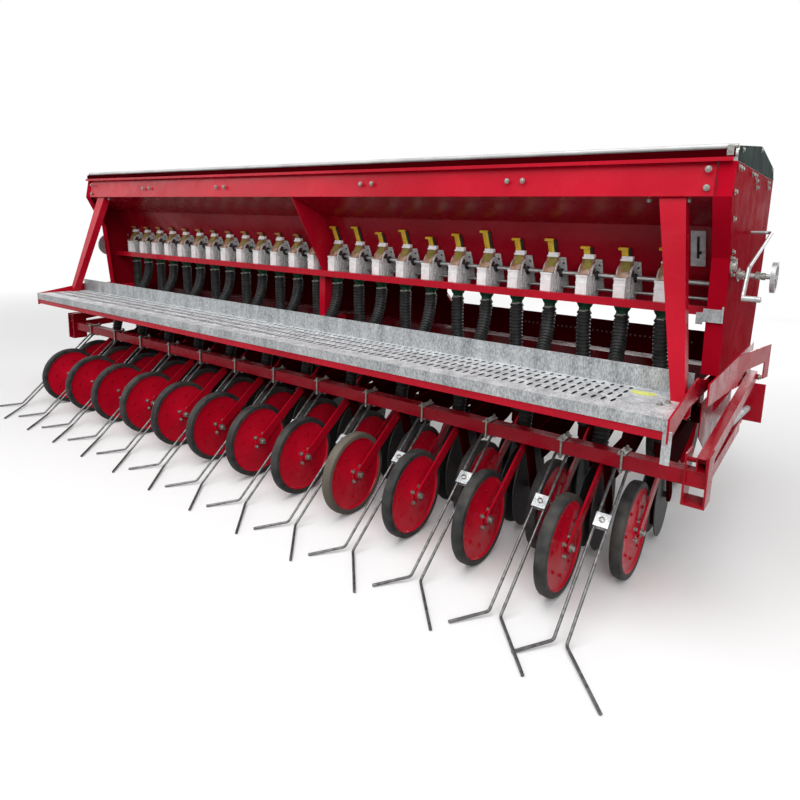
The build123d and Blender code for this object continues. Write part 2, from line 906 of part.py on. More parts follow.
# Press wheel arms, each with the stub axle that its wheel turns on
press_arm_start = arm_face_x - arm_plate
cap_start = -hub_half - wheel_side_gap - axle_cap
with BuildPart() as one_press_arm:
    with BuildSketch(Plane.YZ.offset(press_arm_start)):
        link_face((0, wheel_radius), (disc_lead - arm_pin_back, arm_pin_z), press_bar)
    extrude(amount=arm_plate)
    with BuildSketch(Plane.YZ.offset(cap_start)):
        with Locations((0, wheel_radius)):
            Circle(axle_cap_radius)
    extrude(amount=axle_cap)
    with BuildSketch(Plane.YZ.offset(cap_start)):
        with Locations((0, wheel_radius)):
            Circle(axle_radius)
    extrude(amount=press_arm_start - cap_start)
with BuildPart() as press_arms:
    with Locations(*unit_places(range(row_count), 0)):
        add(one_press_arm.part)

# One press wheel: a rubber tyre on a dished disc, the two a seat gap apart
tyre_half = tyre_width / 2
tyre_seat = wheel_radius - tyre_depth
rim_outer = tyre_seat - seat_gap
rim_inner = rim_outer - rim_wall
step_in, step_out = (share * rim_inner for share in dish_shares)
web_high = tyre_half - dish_depth / 2
web_low = tyre_half - dish_depth
wheel_plane = Plane(origin=(0, 0, wheel_radius), x_dir=(1, 0, 0), z_dir=(0, 0, 1))
with BuildPart() as press_wheel:
    with BuildSketch(wheel_plane):
        with BuildLine():
            Polyline(
                (-tyre_half, tyre_seat),
                (-tyre_half, wheel_radius - tyre_shoulder),
                (-tyre_half + tyre_shoulder, wheel_radius),
                (tyre_half - tyre_shoulder, wheel_radius),
                (tyre_half, wheel_radius - tyre_shoulder),
                (tyre_half, tyre_seat),
                close=True,
            )
        make_face()
    revolve(axis=Axis(wheel_plane.origin, (1, 0, 0)))
    with BuildSketch(wheel_plane):
        with BuildLine():
            Polyline(
                (-hub_half, axle_radius + pin_clearance),
                (-hub_half, hub_radius),
                (web_high - rim_wall, hub_radius),
                (web_high - rim_wall, step_in),
                (web_low - rim_wall, step_out),
                (web_low - rim_wall, rim_inner),
                (-tyre_half, rim_inner),
                (-tyre_half, rim_outer),
                (tyre_half, rim_outer),
                (tyre_half, rim_inner),
                (web_low, rim_inner),
                (web_low, step_out),
                (web_high, step_in),
                (web_high, hub_radius),
                (hub_half, hub_radius),
                (hub_half, axle_radius + pin_clearance),
                close=True,
            )
        make_face()
    revolve(axis=Axis(wheel_plane.origin, (1, 0, 0)))


# Harrow: the cross tube, and at each end a bracket with the two arms and a strut
arm_outer_x = harrow_arm_x + harrow_arm_width
bracket_x = harrow_arm_x - bracket_room - bracket_plate
arm_rise = harrow_pivot_z - harrow_arm_rear_z
arm_run = harrow_pivot_y - harrow_arm_rear_y
arm_length = hypot(arm_run, arm_rise)
arm_lean = degrees(atan2(arm_rise, arm_run))
bore_length = arm_length - harrow_arm_height + overrun


def along_arm(distance):
    """A point on the upper arm's line, this far from its rear end."""
    share = distance / arm_length
    return (harrow_arm_rear_y + share * arm_run, harrow_arm_rear_z + share * arm_rise)


with BuildPart() as harrow_bar:
    square_tube((harrow_y, harrow_z), harrow_tube, harrow_wall, arm_outer_x)
with BuildPart() as harrow_arms:
    with BuildSketch(Plane.YZ.offset(harrow_arm_x)):
        with Locations(Location(along_arm(arm_length / 2), arm_lean)):
            Rectangle(arm_length, harrow_arm_height)
        with Locations((harrow_pivot_y, harrow_pivot_z)):
            Circle(harrow_arm_height / 2)
    extrude(amount=harrow_arm_width)
    with BuildSketch(Plane.YZ.offset(harrow_arm_x + harrow_arm_wall)):
        with Locations(Location(along_arm(bore_length / 2 - overrun), arm_lean)):
            Rectangle(bore_length, harrow_arm_height - 2 * harrow_arm_wall)
    extrude(amount=harrow_arm_width - 2 * harrow_arm_wall, mode=Mode.SUBTRACT)
    with BuildSketch(Plane.YZ.offset(half_width)):
        with Locations((harrow_pivot_y, harrow_pivot_z)):
            Circle(harrow_pin_radius)
    extrude(amount=arm_outer_x + harrow_boss - half_width)
    for plate_x in (bracket_x, arm_outer_x):
        with BuildSketch(Plane.YZ.offset(plate_x)):
            with BuildLine():
                Polyline(
                    (bracket_rear_y, bracket_low_z),
                    (bracket_rear_y, bracket_top_z),
                    (bracket_front_y, bracket_top_z),
                    (bracket_front_y, bracket_low_z),
                    close=True,
                )
            make_face()
            if plate_x < arm_outer_x:
                with Locations((harrow_y, harrow_z)):
                    Rectangle(
                        harrow_tube + 2 * seat_gap,
                        harrow_tube + 2 * seat_gap,
                        mode=Mode.SUBTRACT,
                    )
        extrude(amount=bracket_plate)
    with BuildSketch(Plane.YZ.offset(bracket_x)):
        with Locations(((bracket_rear_y + bracket_front_y) / 2, bracket_low_z)):
            Rectangle(bracket_front_y - bracket_rear_y, bracket_plate)
        with Locations(along_arm(harrow_y - harrow_arm_rear_y)):
            Circle(bracket_bolt_radius)
    extrude(amount=arm_outer_x + bracket_plate - bracket_x)
    with BuildSketch(Plane.YZ.offset(arm_outer_x - lower_arm_width)):
        with BuildLine():
            Polyline(
                (harrow_y + harrow_tube / 2 + seat_gap, lower_arm_rear_z - lower_arm_height / 2),
                (harrow_y + harrow_tube / 2 + seat_gap, lower_arm_rear_z + lower_arm_height / 2),
                (lower_arm_front_y, lower_arm_front_z + lower_arm_height / 2),
                (lower_arm_front_y, lower_arm_front_z - lower_arm_height / 2),
                close=True,
            )
        make_face()
    extrude(amount=lower_arm_width)
    strut_run = Vector(0, strut_front_y - strut_rear_y, strut_front_z - strut_rear_z)
    strut_foot = (harrow_arm_x + harrow_arm_width / 2, strut_rear_y, strut_rear_z)
    with BuildSketch(Plane(origin=strut_foot, x_dir=(1, 0, 0), z_dir=strut_run)):
        Circle(strut_radius)
    extrude(amount=strut_run.length)
    mirror(about=Plane.YZ)


# Spring tines: pairs of round rods from the tube's underside to the knee and out to the tip
tine_places = [(first_tine_x + tine * tine_pitch, 0, 0) for tine in range(tine_count - 1)]
tine_places.append((last_tine_x, 0, 0))
tine_head_z = harrow_z - harrow_tube / 2 - tine_radius - seat_gap
tine_front_y = harrow_y + harrow_tube / 2
tine_head = (tine_front_y, tine_head_z)
tine_bend = (harrow_y - harrow_tube / 2, tine_head_z)
tine_knee = (tine_knee_y, tine_knee_z)
with BuildPart() as one_tine:
    for side, tip_x, tip_y in (
        (-1, tine_tip_left_x, tine_tip_left_y),
        (1, tine_tip_right_x, tine_tip_right_y),
    ):
        with BuildLine() as rod:
            FilletPolyline(
                (side * tine_spread, *tine_head),
                (side * tine_spread, *tine_bend),
                (side * tine_spread, *tine_knee),
                (tip_x, tip_y, tine_radius),
                radius=4 * tine_radius,
            )
        head = Plane(origin=(side * tine_spread, *tine_head), z_dir=(0, -1, 0))
        with BuildSketch(head):
            Circle(tine_radius)
        sweep(path=rod.wire())
with BuildPart() as harrow_tines:
    with Locations(*tine_places):
        add(one_tine.part)

# Square plates that clamp each pair of tines to the tube and to each other
tine_lean = degrees(atan2(tine_knee[1] - tine_bend[1], tine_knee[0] - tine_bend[0]))
clamp_middle = (
    tine_bend[0] + clamp_share * (tine_knee[0] - tine_bend[0]),
    tine_bend[1] + clamp_share * (tine_knee[1] - tine_bend[1]),
)
saddle_z = tine_head_z - tine_radius - seat_gap - saddle_plate / 2
with BuildPart() as one_clamp:
    with BuildSketch(Plane.YZ.offset(-clamp_size / 2)):
        with Locations((tine_front_y - saddle_width / 2, saddle_z)):
            Rectangle(saddle_width, saddle_plate)
        with Locations(Location(clamp_middle, tine_lean)):
            Rectangle(clamp_size, 2 * tine_radius + 2 * clamp_plate)
            Rectangle(clamp_size, 2 * (tine_radius + seat_gap), mode=Mode.SUBTRACT)
    extrude(amount=clamp_size)
with BuildPart() as tine_clamps:
    with Locations(*tine_places):
        add(one_clamp.part)

# Land wheels in front of the openers, and the arms that carry them
land_foot_z = beam_low_z - land_arm_bar / 2
with BuildPart() as land_arms:
    for side in (-1, 1):
        hub_x = land_wheel_x - land_tyre_width / 2 - wheel_side_gap
        plate_start = side * (hub_x - land_arm_plate / 2) - land_arm_plate / 2
        with BuildSketch(Plane.YZ.offset(plate_start)):
            link_face((land_wheel_y, land_wheel_radius), (front_beam_y, land_foot_z), land_arm_bar)
            with Locations((front_beam_y, land_foot_z)):
                Rectangle(land_arm_bar, land_arm_bar)
        extrude(amount=land_arm_plate)
        axle_start = min(side * hub_x, side * (hub_x + land_tyre_width))
        with BuildSketch(Plane.YZ.offset(axle_start)):
            with Locations((land_wheel_y, land_wheel_radius)):
                Circle(land_axle_radius)
        extrude(amount=land_tyre_width)


def land_wheel_plane(side):
    centre = (side * land_wheel_x, land_wheel_y, land_wheel_radius)
    return Plane(origin=centre, x_dir=(1, 0, 0), z_dir=(0, 0, 1)), Axis(centre, (1, 0, 0))


def land_tyre(side):
    wheel_plane, wheel_axis = land_wheel_plane(side)
    with BuildPart() as tyre:
        with BuildSketch(wheel_plane):
            with Locations((0, land_wheel_radius - land_tyre_depth / 2)):
                Rectangle(land_tyre_width, land_tyre_depth)
        revolve(axis=wheel_axis)
    return tyre


def land_rim(side):
    wheel_plane, wheel_axis = land_wheel_plane(side)
    rim_outer = land_wheel_radius - land_tyre_depth - seat_gap
    bore = land_axle_radius + pin_clearance
    half = land_tyre_width / 2
    with BuildPart() as rim:
        with BuildSketch(wheel_plane):
            with Locations((0, rim_outer - land_rim_wall / 2)):
                Rectangle(land_tyre_width, land_rim_wall)
            with Locations((0, (rim_outer + bore) / 2)):
                Rectangle(land_rim_wall, rim_outer - bore)
            with Locations((0, (land_hub_radius + bore) / 2)):
                Rectangle(2 * half, land_hub_radius - bore)
        revolve(axis=wheel_axis)
    return rim


# Hand wheels on the feed shaft, and the crank on the right end plate
with BuildPart() as hand_controls:
    for side in (-1, 1):
        wheel_start = side * (hand_wheel_x - hand_wheel_rim) - hand_wheel_rim
        with BuildSketch(Plane.YZ.offset(wheel_start)):
            with Locations((feed_shaft_y, feed_shaft_z)):
                Circle(hand_wheel_radius)
                Circle(hand_wheel_radius - 2 * hand_wheel_rim, mode=Mode.SUBTRACT)
                Circle(hand_wheel_hub_radius)
                with PolarLocations(0, hand_wheel_spokes):
                    with Locations(((hand_wheel_radius - hand_wheel_rim) / 2, 0)):
                        Rectangle(hand_wheel_radius - hand_wheel_rim, hand_wheel_rim)
                Circle(feed_shaft_radius + pin_clearance, mode=Mode.SUBTRACT)
        extrude(amount=2 * hand_wheel_rim)
    with BuildLine() as crank_rod:
        FilletPolyline(
            (half_width, crank_top_y, crank_top_z),
            (crank_x, crank_top_y, crank_top_z),
            (crank_x, crank_mid_y, crank_mid_z),
            (crank_x, crank_low_y, crank_low_z),
            (crank_x + crank_grip, crank_low_y, crank_low_z),
            radius=2 * crank_radius,
        )
    with BuildSketch(Plane(origin=(half_width, crank_top_y, crank_top_z), z_dir=(1, 0, 0))):
        Circle(crank_radius)
    sweep(path=crank_rod.wire())


root_nodes = {
    "hopper_shell": hopper_shell,
    "rear_band": rear_band,
    "end_plates": end_plates,
    "main_beams": main_beams,
    "opener_beam": opener_beam,
    "opener_hangers": opener_hangers,
    "headstock": headstock,
    "hitch_ears": hitch_ears,
    "side_plates": side_plates,
    "tread_brackets": tread_brackets,
    "walkway": walkway,
    "walkway_angles": walkway_angles,
    "rear_posts": rear_posts,
    "mid_gusset": mid_gusset,
    "meter_channel": meter_channel,
    "seed_meters": seed_meters,
    "meter_shafts": meter_shafts,
    "meter_gates": meter_gates,
    "seed_cups": seed_cups,
    "hoses": hoses,
    "opener_arms": opener_arms,
    "opener_discs": opener_discs,
    "pressure_springs": pressure_springs,
    "press_arms": press_arms,
    "land_arms": land_arms,
    "hand_controls": hand_controls,
    "lid": lid,
    "harrow_bar": harrow_bar,
    "harrow_arms": harrow_arms,
    "harrow_tines": harrow_tines,
    "tine_clamps": tine_clamps,
}
for label, node in root_nodes.items():
    export(node, label)
for side, name in ((-1, "left"), (1, "right")):
    export(land_tyre(side), f"land_tyre_{name}")
    export(land_rim(side), f"land_rim_{name}")
for row in range(row_count):
    wheel = press_wheel.part.moved(Location((row_x(row), rank_y(row), 0)))
    wheel.label = f"press_wheel_{row + 1:02d}"
    export_step(wheel, f"parts/{wheel.label}.step")
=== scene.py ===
import math

import bpy
from mathutils import Matrix, Vector


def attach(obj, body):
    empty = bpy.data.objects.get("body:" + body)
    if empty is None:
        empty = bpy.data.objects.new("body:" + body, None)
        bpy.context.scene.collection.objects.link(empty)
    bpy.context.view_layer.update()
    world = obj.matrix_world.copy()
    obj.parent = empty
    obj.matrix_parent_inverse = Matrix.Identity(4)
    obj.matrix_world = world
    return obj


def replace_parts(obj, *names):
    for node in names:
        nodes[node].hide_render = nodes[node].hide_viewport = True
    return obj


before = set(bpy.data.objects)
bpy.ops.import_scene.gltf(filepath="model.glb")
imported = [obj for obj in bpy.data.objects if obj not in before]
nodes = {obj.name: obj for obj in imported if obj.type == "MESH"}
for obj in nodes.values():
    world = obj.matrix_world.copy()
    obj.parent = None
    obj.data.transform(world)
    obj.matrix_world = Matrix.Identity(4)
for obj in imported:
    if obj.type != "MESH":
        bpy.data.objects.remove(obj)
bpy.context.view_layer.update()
print("frame loaded")


# Shader helpers

def startMaterial(name):
    material = bpy.data.materials.new(name)
    material.use_nodes = True
    tree = material.node_tree
    coords = tree.nodes.new("ShaderNodeTexCoord")
    return material, tree, tree.nodes["Principled BSDF"], coords.outputs["Object"]


def setNode(tree, node, values=None, links=None):
    for key, value in (values or {}).items():
        node.inputs[key].default_value = value
    for key, source in (links or {}).items():
        tree.links.new(source, node.inputs[key])
    return node


def addNode(tree, kind, values=None, links=None, **settings):
    node = tree.nodes.new("ShaderNode" + kind)
    for key, value in settings.items():
        setattr(node, key, value)
    return setNode(tree, node, values, links)


def addNoise(tree, coords, scale, detail=3.0, stretch=None):
    if stretch:
        coords = addNode(tree, "Mapping", {"Scale": stretch}, {"Vector": coords}).outputs["Vector"]
    return addNode(tree, "TexNoise", {"Scale": scale, "Detail": detail}, {"Vector": coords}).outputs["Fac"]


def addRamp(tree, value, stops):
    ramp = addNode(tree, "ValToRGB", None, {"Fac": value})
    band = ramp.color_ramp
    while len(band.elements) < len(stops):
        band.elements.new(0.5)
    for element, (place, colour) in zip(band.elements, stops):
        element.position = place
        element.color = (*colour, 1.0)
    return ramp.outputs["Color"]


def addRange(tree, value, low, high, fromLow=0.0, fromHigh=1.0):
    limits = {"From Min": fromLow, "From Max": fromHigh, "To Min": low, "To Max": high}
    return addNode(tree, "MapRange", limits, {"Value": value}).outputs["Result"]


def addScaled(tree, colour, factor):
    return addNode(tree, "VectorMath", None, {0: colour, "Scale": factor}, operation="SCALE").outputs["Vector"]


def addBump(tree, shader, height, strength, distance):
    bump = addNode(tree, "Bump", {"Strength": strength, "Distance": distance}, {"Height": height})
    tree.links.new(bump.outputs["Normal"], shader.inputs["Normal"])


def grey(value):
    return (value, value, value)


def shaded(colour, shade):
    return tuple(shade * part for part in colour)


# Glossy red powder coat, with a slight orange peel and dust in the dull patches
redPaint = {
    "deep": (0.34, 0.002, 0.012), "bright": (0.48, 0.005, 0.021), "cloudScale": 2.6,
    "roughLow": 0.16, "roughHigh": 0.36, "dustScale": 14.0, "ior": 1.22,
    "coat": 0.04, "coatRough": 0.08, "peelScale": 380.0, "dullLevel": 0.0004,
}


def makeRedPaint(name, shade=1.0, dull=False, paintedInnerShade=None):
    facts = redPaint
    material, tree, shader, coords = startMaterial(name)
    cloud = addNoise(tree, coords, facts["cloudScale"])
    tone = addRamp(tree, cloud, [(0.3, shaded(facts["deep"], shade)), (0.7, shaded(facts["bright"], shade))])
    if paintedInnerShade:
        # Faces that look to the machine's middle are darkened: painted shade
        normal = addNode(tree, "NewGeometry").outputs["Normal"]
        product = addNode(tree, "VectorMath", None, {0: coords, 1: normal}, operation="MULTIPLY")
        outward = addNode(tree, "SeparateXYZ", None, {"Vector": product.outputs["Vector"]}).outputs["X"]
        tone = addScaled(tree, tone, addRange(tree, outward, paintedInnerShade, 1.0, -1.8, -0.9))
    dust = addNoise(tree, coords, facts["dustScale"], 5.0)
    rough = addRange(tree, dust, facts["roughLow"], facts["roughHigh"], 0.35, 0.7)
    values = {"IOR": facts["ior"], "Coat Weight": facts["coat"], "Coat Roughness": facts["coatRough"]}
    if dull:
        values.update({"Coat Weight": 0.0, "Specular IOR Level": facts["dullLevel"]})
    setNode(tree, shader, values, {"Base Color": tone, "Roughness": rough})
    addBump(tree, shader, addNoise(tree, coords, facts["peelScale"], 2.0), 0.12, 0.0006)
    return material


# Galvanised sheet: small crystals, fine bright and dull specks and cloudy stains,
# and upright faces painted darker than the ones that look up, as painted shade under light from above
galvanised = {
    "dark": (0.24, 0.26, 0.28), "light": (0.84, 0.86, 0.87), "crystals": 120.0, "specks": 260.0, "stains": 22.0,
    "upright": 0.62, "metallic": 0.35, "roughLow": 0.34, "roughHigh": 0.52,
}


def makeGalvanised(name, shade=1.0, contrast=0.45):
    facts = galvanised
    material, tree, shader, coords = startMaterial(name)
    crystals = addNode(tree, "TexVoronoi", {"Scale": facts["crystals"]}, {"Vector": coords})
    split = addNode(tree, "SeparateColor", None, {"Color": crystals.outputs["Color"]}).outputs
    stain = addNoise(tree, coords, facts["stains"], 8.0, (1.0, 1.0, 0.25))
    stain = addRange(tree, stain, 0.0, 1.0 - contrast, 0.32, 0.68)
    specks = addNoise(tree, coords, facts["specks"], 2.0, (1.0, 1.0, 0.35))
    specks = addRange(tree, specks, 0.0, 0.8 * contrast, 0.35, 0.65)
    mix = addNode(tree, "Math", {1: 0.35 * contrast}, {0: split["Red"], 2: stain}, operation="MULTIPLY_ADD")
    total = addNode(tree, "Math", None, {0: mix.outputs["Value"], 1: specks}, operation="ADD")
    tone = addRamp(tree, total.outputs["Value"],
                   [(0.1, shaded(facts["dark"], shade)), (0.95, shaded(facts["light"], shade))])
    # Upright faces darkened by their normal: painted shade
    normal = addNode(tree, "NewGeometry").outputs["Normal"]
    upward = addNode(tree, "SeparateXYZ", None, {"Vector": normal}).outputs["Z"]
    level = addRange(tree, upward, facts["upright"], 1.0, 0.2, 0.9)
    rough = addRange(tree, split["Green"], facts["roughLow"], facts["roughHigh"])
    setNode(tree, shader, {"Metallic": facts["metallic"]},
            {"Base Color": addScaled(tree, tone, level), "Roughness": rough})
    addBump(tree, shader, split["Blue"], 0.06, 0.001)
    return material


def makeSteel(name, dark, light, rough, metallic=0.85, grain=60.0):
    material, tree, shader, coords = startMaterial(name)
    cloud = addNoise(tree, coords, grain, 4.0)
    setNode(tree, shader, {"Metallic": metallic}, {
        "Base Color": addRamp(tree, cloud, [(0.3, dark), (0.7, light)]),
        "Roughness": addRange(tree, cloud, rough, rough + 0.18)})
    addBump(tree, shader, addNoise(tree, coords, 300.0, 2.0), 0.08, 0.0005)
    return material


# Rubber: grey-black with brown dust that gathers in patches
rubber = {"dark": (0.012, 0.013, 0.014), "light": (0.046, 0.046, 0.045), "dust": (0.17, 0.145, 0.115),
          "scuffScale": 26.0, "patchScale": 6.0, "rough": 0.62, "ior": 1.3}


def makeRubber(name, dustShare=0.25, dustFloor=0.0):
    facts = rubber
    material, tree, shader, coords = startMaterial(name)
    scuff = addNoise(tree, coords, facts["scuffScale"], 7.0)
    patches = addNoise(tree, coords, facts["patchScale"], 4.0)
    mix = addNode(tree, "Mix", {"B": (*facts["dust"], 1.0)}, {
        "A": addRamp(tree, scuff, [(0.32, facts["dark"]), (0.72, facts["light"])]),
        "Factor": addRange(tree, patches, dustFloor, dustShare, 0.45, 0.75)}, data_type="RGBA")
    setNode(tree, shader, {"Roughness": facts["rough"], "IOR": facts["ior"]}, {"Base Color": mix.outputs["Result"]})
    addBump(tree, shader, addNoise(tree, coords, 240.0, 3.0), 0.25, 0.0008)
    return material


def makePlastic(name, dark, light, rough=0.4, speckle=40.0, level=0.5):
    material, tree, shader, coords = startMaterial(name)
    cloud = addNoise(tree, coords, speckle, 4.0)
    setNode(tree, shader, {"IOR": 1.3, "Specular IOR Level": level}, {
        "Base Color": addRamp(tree, cloud, [(0.35, dark), (0.65, light)]),
        "Roughness": addRange(tree, cloud, rough, rough + 0.15)})
    addBump(tree, shader, addNoise(tree, coords, 500.0, 2.0), 0.08, 0.0004)
    return material


# The meters' amber covers let some light through
amber = {"thin": (0.46, 0.27, 0.17), "thick": (0.26, 0.12, 0.06), "through": 0.2}


def makeAmber(name):
    material, tree, shader, coords = startMaterial(name)
    cloud = addNoise(tree, coords, 55.0, 4.0)
    setNode(tree, shader, {"Transmission Weight": amber["through"]}, {
        "Base Color": addRamp(tree, cloud, [(0.35, amber["thick"]), (0.7, amber["thin"])]),
        "Roughness": addRange(tree, cloud, 0.18, 0.32)})
    addBump(tree, shader, addNoise(tree, coords, 300.0, 2.0), 0.06, 0.0004)
    return material


redGloss = makeRedPaint("redGloss")
# Hopper shell and apron: the red paint at 0.62, as painted shade
redShellShade = makeRedPaint("redShellShade", 0.62)
# End plates: the paint at 0.90, duller, with the inner faces darkened as painted shade
redSideInnerShade = makeRedPaint("redSideInnerShade", 0.90, True, 0.45)
# Main beams: the red paint at 0.18, as painted shade
redBeamShade = makeRedPaint("redBeamShade", 0.18)
# Harrow and end webs: the red paint at 0.88, as painted shade
redHarrowShade = makeRedPaint("redHarrowShade", 0.88)
# Opener parts, webs and the strip under the lid roll: the red paint at 0.10, as painted shade
redDeepShade = makeRedPaint("redDeepShade", 0.10, True)
redShade = makeRedPaint("redShade", 0.24, True)
# Press wheel discs: the red paint at 1.25, as painted light
redWheelLit = makeRedPaint("redWheelLit", 1.25)
lidSheet = makeSteel("lidSheet", grey(0.36), grey(0.50), 0.36, 0.40, 9.0)
zinc = makeGalvanised("zinc")
zincWalk = makeGalvanised("zincWalk", 1.0, 0.60)
boltZinc = makeSteel("boltZinc", (0.16, 0.155, 0.14), (0.40, 0.39, 0.36), 0.30, 0.7, 200.0)
brightSteel = makeSteel("brightSteel", grey(0.26), grey(0.44), 0.26, 0.75)
yellowSmear = makePlastic("yellowSmear", (0.52, 0.56, 0.10), (0.66, 0.68, 0.22), 0.5, 60.0)
tineSteel = makeSteel("tineSteel", grey(0.06), grey(0.19), 0.26, 0.7)
darkSteel = makeSteel("darkSteel", grey(0.012), grey(0.035), 0.45, 0.3)
tyreRubber = makeRubber("tyreRubber")
dustyRubber = makeRubber("dustyRubber", 0.85, 0.40)
hoseRubber = makePlastic("hoseRubber", grey(0.010), grey(0.024), 0.36, 30.0)
meterWhite = makePlastic("meterWhite", grey(0.72), grey(0.88))
meterGrey = makePlastic("meterGrey", grey(0.22), grey(0.62), 0.35, 210.0)
gateYellow = makePlastic("gateYellow", (0.66, 0.42, 0.020), (0.78, 0.54, 0.06))
gateBrown = makePlastic("gateBrown", (0.34, 0.17, 0.05), (0.52, 0.30, 0.10))
oliveStrip = makePlastic("oliveStrip", (0.16, 0.14, 0.03), (0.26, 0.22, 0.05))
wedgeBrown = makePlastic("wedgeBrown", (0.035, 0.016, 0.010), (0.070, 0.034, 0.022))
scaleGrey = makePlastic("scaleGrey", grey(0.40), grey(0.55), 0.35, 60.0)
cupGreen = makePlastic("cupGreen", (0.008, 0.050, 0.026), (0.015, 0.090, 0.045))
blackPlastic = makePlastic("blackPlastic", grey(0.010), grey(0.026), 0.34)
slotBlack = makePlastic("slotBlack", grey(0.004), grey(0.012), 0.7)
amberPlastic = makeAmber("amberPlastic")
gableGreen = makePlastic("gableGreen", (0.030, 0.044, 0.042), (0.075, 0.098, 0.092), 0.45, 14.0, 0.002)

nodeMaterials = {
    redGloss: ("rear_band", "headstock", "hitch_ears", "side_plates", "walkway_angles", "tread_brackets", "rear_posts",
               "mid_gusset", "meter_channel", "press_arms", "land_arms", "land_rim_left", "land_rim_right"),
    redShellShade: ("hopper_shell",), redSideInnerShade: ("end_plates",), redBeamShade: ("main_beams",),
    redDeepShade: ("opener_beam", "opener_hangers", "opener_arms"), redHarrowShade: ("harrow_bar", "harrow_arms"),
    zincWalk: ("walkway",), zinc: ("tine_clamps",), lidSheet: ("lid",), brightSteel: ("meter_shafts", "hand_controls"),
    darkSteel: ("opener_discs", "pressure_springs"), tineSteel: ("harrow_tines",), meterWhite: ("seed_meters",),
    gateYellow: ("meter_gates",), cupGreen: ("seed_cups",), hoseRubber: ("hoses",),
}


def dressNode(node, *materials):
    slots = node.data.materials
    slots.clear()
    for material in materials:
        slots.append(material)


for node in nodes.values():
    dressNode(node, tyreRubber)  # the tyres and press wheels keep this
for material, names in nodeMaterials.items():
    for name in names:
        dressNode(nodes[name], material)
print("nodes dressed")

# Modelling helpers

def clearSelection():
    bpy.ops.object.select_all(action="DESELECT")


def applyPlace():
    bpy.ops.object.transform_apply(location=True, rotation=True, scale=True)
    return bpy.context.object


def editAll():
    bpy.ops.object.mode_set(mode="EDIT")
    bpy.ops.mesh.select_all(action="SELECT")


def endEdit(piece, name):
    bpy.ops.object.mode_set(mode="OBJECT")
    piece.name = name
    piece.data.name = name
    return piece


def shiftBy(x, y, z):
    # How far an extrude operator moves what it makes
    return {"value": (x, y, z), "orient_type": "GLOBAL"}


def fixNormals():
    bpy.ops.mesh.select_all(action="SELECT")
    bpy.ops.mesh.normals_make_consistent(inside=False)


def closeEnds():
    bpy.ops.object.mode_set(mode="EDIT")
    bpy.ops.mesh.select_mode(type="EDGE")
    bpy.ops.mesh.select_all(action="DESELECT")
    bpy.ops.mesh.select_non_manifold()
    bpy.ops.mesh.fill()
    fixNormals()


def selectFaces(piece, test):
    # Picks faces by a test on their normal, and stays in edit mode
    bpy.ops.object.mode_set(mode="EDIT")
    bpy.ops.mesh.select_mode(type="FACE")
    bpy.ops.mesh.select_all(action="DESELECT")
    bpy.ops.object.mode_set(mode="OBJECT")
    for face in piece.data.polygons:
        face.select = test(face.normal)
    bpy.ops.object.mode_set(mode="EDIT")


def openRing(radius, segments, centre):
    # An empty circle about X, in edit mode
    clearSelection()
    bpy.ops.mesh.primitive_circle_add(
        vertices=segments, radius=radius, location=centre, rotation=(0, math.radians(90), 0))
    ring = applyPlace()
    editAll()
    return ring


def extrudeRings(profile, centre=(0, 0, 0)):
    # Each ring is extruded from the last, moved along X and scaled
    across, radius = profile[0]
    for nextAcross, nextRadius in profile[1:]:
        bpy.ops.mesh.extrude_edges_move(TRANSFORM_OT_translate=shiftBy(nextAcross - across, 0, 0))
        scale = nextRadius / radius
        bpy.ops.transform.resize(
            value=(1, scale, scale), center_override=(centre[0] + nextAcross, centre[1], centre[2]))
        across, radius = nextAcross, nextRadius


def turnedRing(name, profile, centre, segments):
    # A closed profile of (X, radius) turned about X
    across, radius = profile[0]
    piece = openRing(radius, segments, (centre[0] + across, centre[1], centre[2]))
    extrudeRings(profile, centre)
    bpy.ops.mesh.select_all(action="SELECT")
    bpy.ops.mesh.remove_doubles(threshold=0.00002)
    fixNormals()
    return endEdit(piece, name)


def block(name, low, high, bevel=0.0):
    # A box between two corners, its edges bevelled
    clearSelection()
    bpy.ops.mesh.primitive_cube_add(size=1.0, location=[(a + b) / 2 for a, b in zip(low, high)])
    bpy.context.object.scale = [b - a for a, b in zip(low, high)]
    piece = applyPlace()
    if bevel:
        editAll()
        bpy.ops.mesh.bevel(offset=bevel, segments=1)
    return endEdit(piece, name)


def plateYZ(name, outline, x, thickness, bevel=0.0):
    # A plate at one X: a polygon of the outline's points, extruded along X
    clearSelection()
    bpy.ops.mesh.primitive_circle_add(
        vertices=len(outline), radius=0.1, fill_type="NGON", location=(x, 0, 0),
        rotation=(0, math.radians(90), 0))
    piece = applyPlace()
    for vertex, (y, z) in zip(piece.data.vertices, outline):
        vertex.co = (x, y, z)
    editAll()
    bpy.ops.mesh.extrude_region_move(TRANSFORM_OT_translate=shiftBy(thickness, 0, 0))
    fixNormals()
    if bevel:
        bpy.ops.mesh.bevel(offset=bevel, segments=1)
    return endEdit(piece, name)


def rod(name, start, end, radius, segments=16, bevel=0.0):
    # A round bar between two points, its ends chamfered by an inset that is pushed out
    clearSelection()
    start, end = Vector(start), Vector(end)
    run = end - start
    bpy.ops.mesh.primitive_cylinder_add(
        vertices=segments, radius=radius, depth=run.length - 2 * bevel, location=(start + end) / 2,
        rotation=run.to_track_quat("Z", "Y").to_euler())
    piece = applyPlace()
    if bevel:
        axis = run.normalized()
        for side in (1, -1):
            selectFaces(piece, lambda normal: side * normal.dot(axis) > 0.9)
            bpy.ops.mesh.inset(thickness=bevel)
            bpy.ops.transform.translate(value=side * bevel * axis)
            bpy.ops.object.mode_set(mode="OBJECT")
    return endEdit(piece, name)


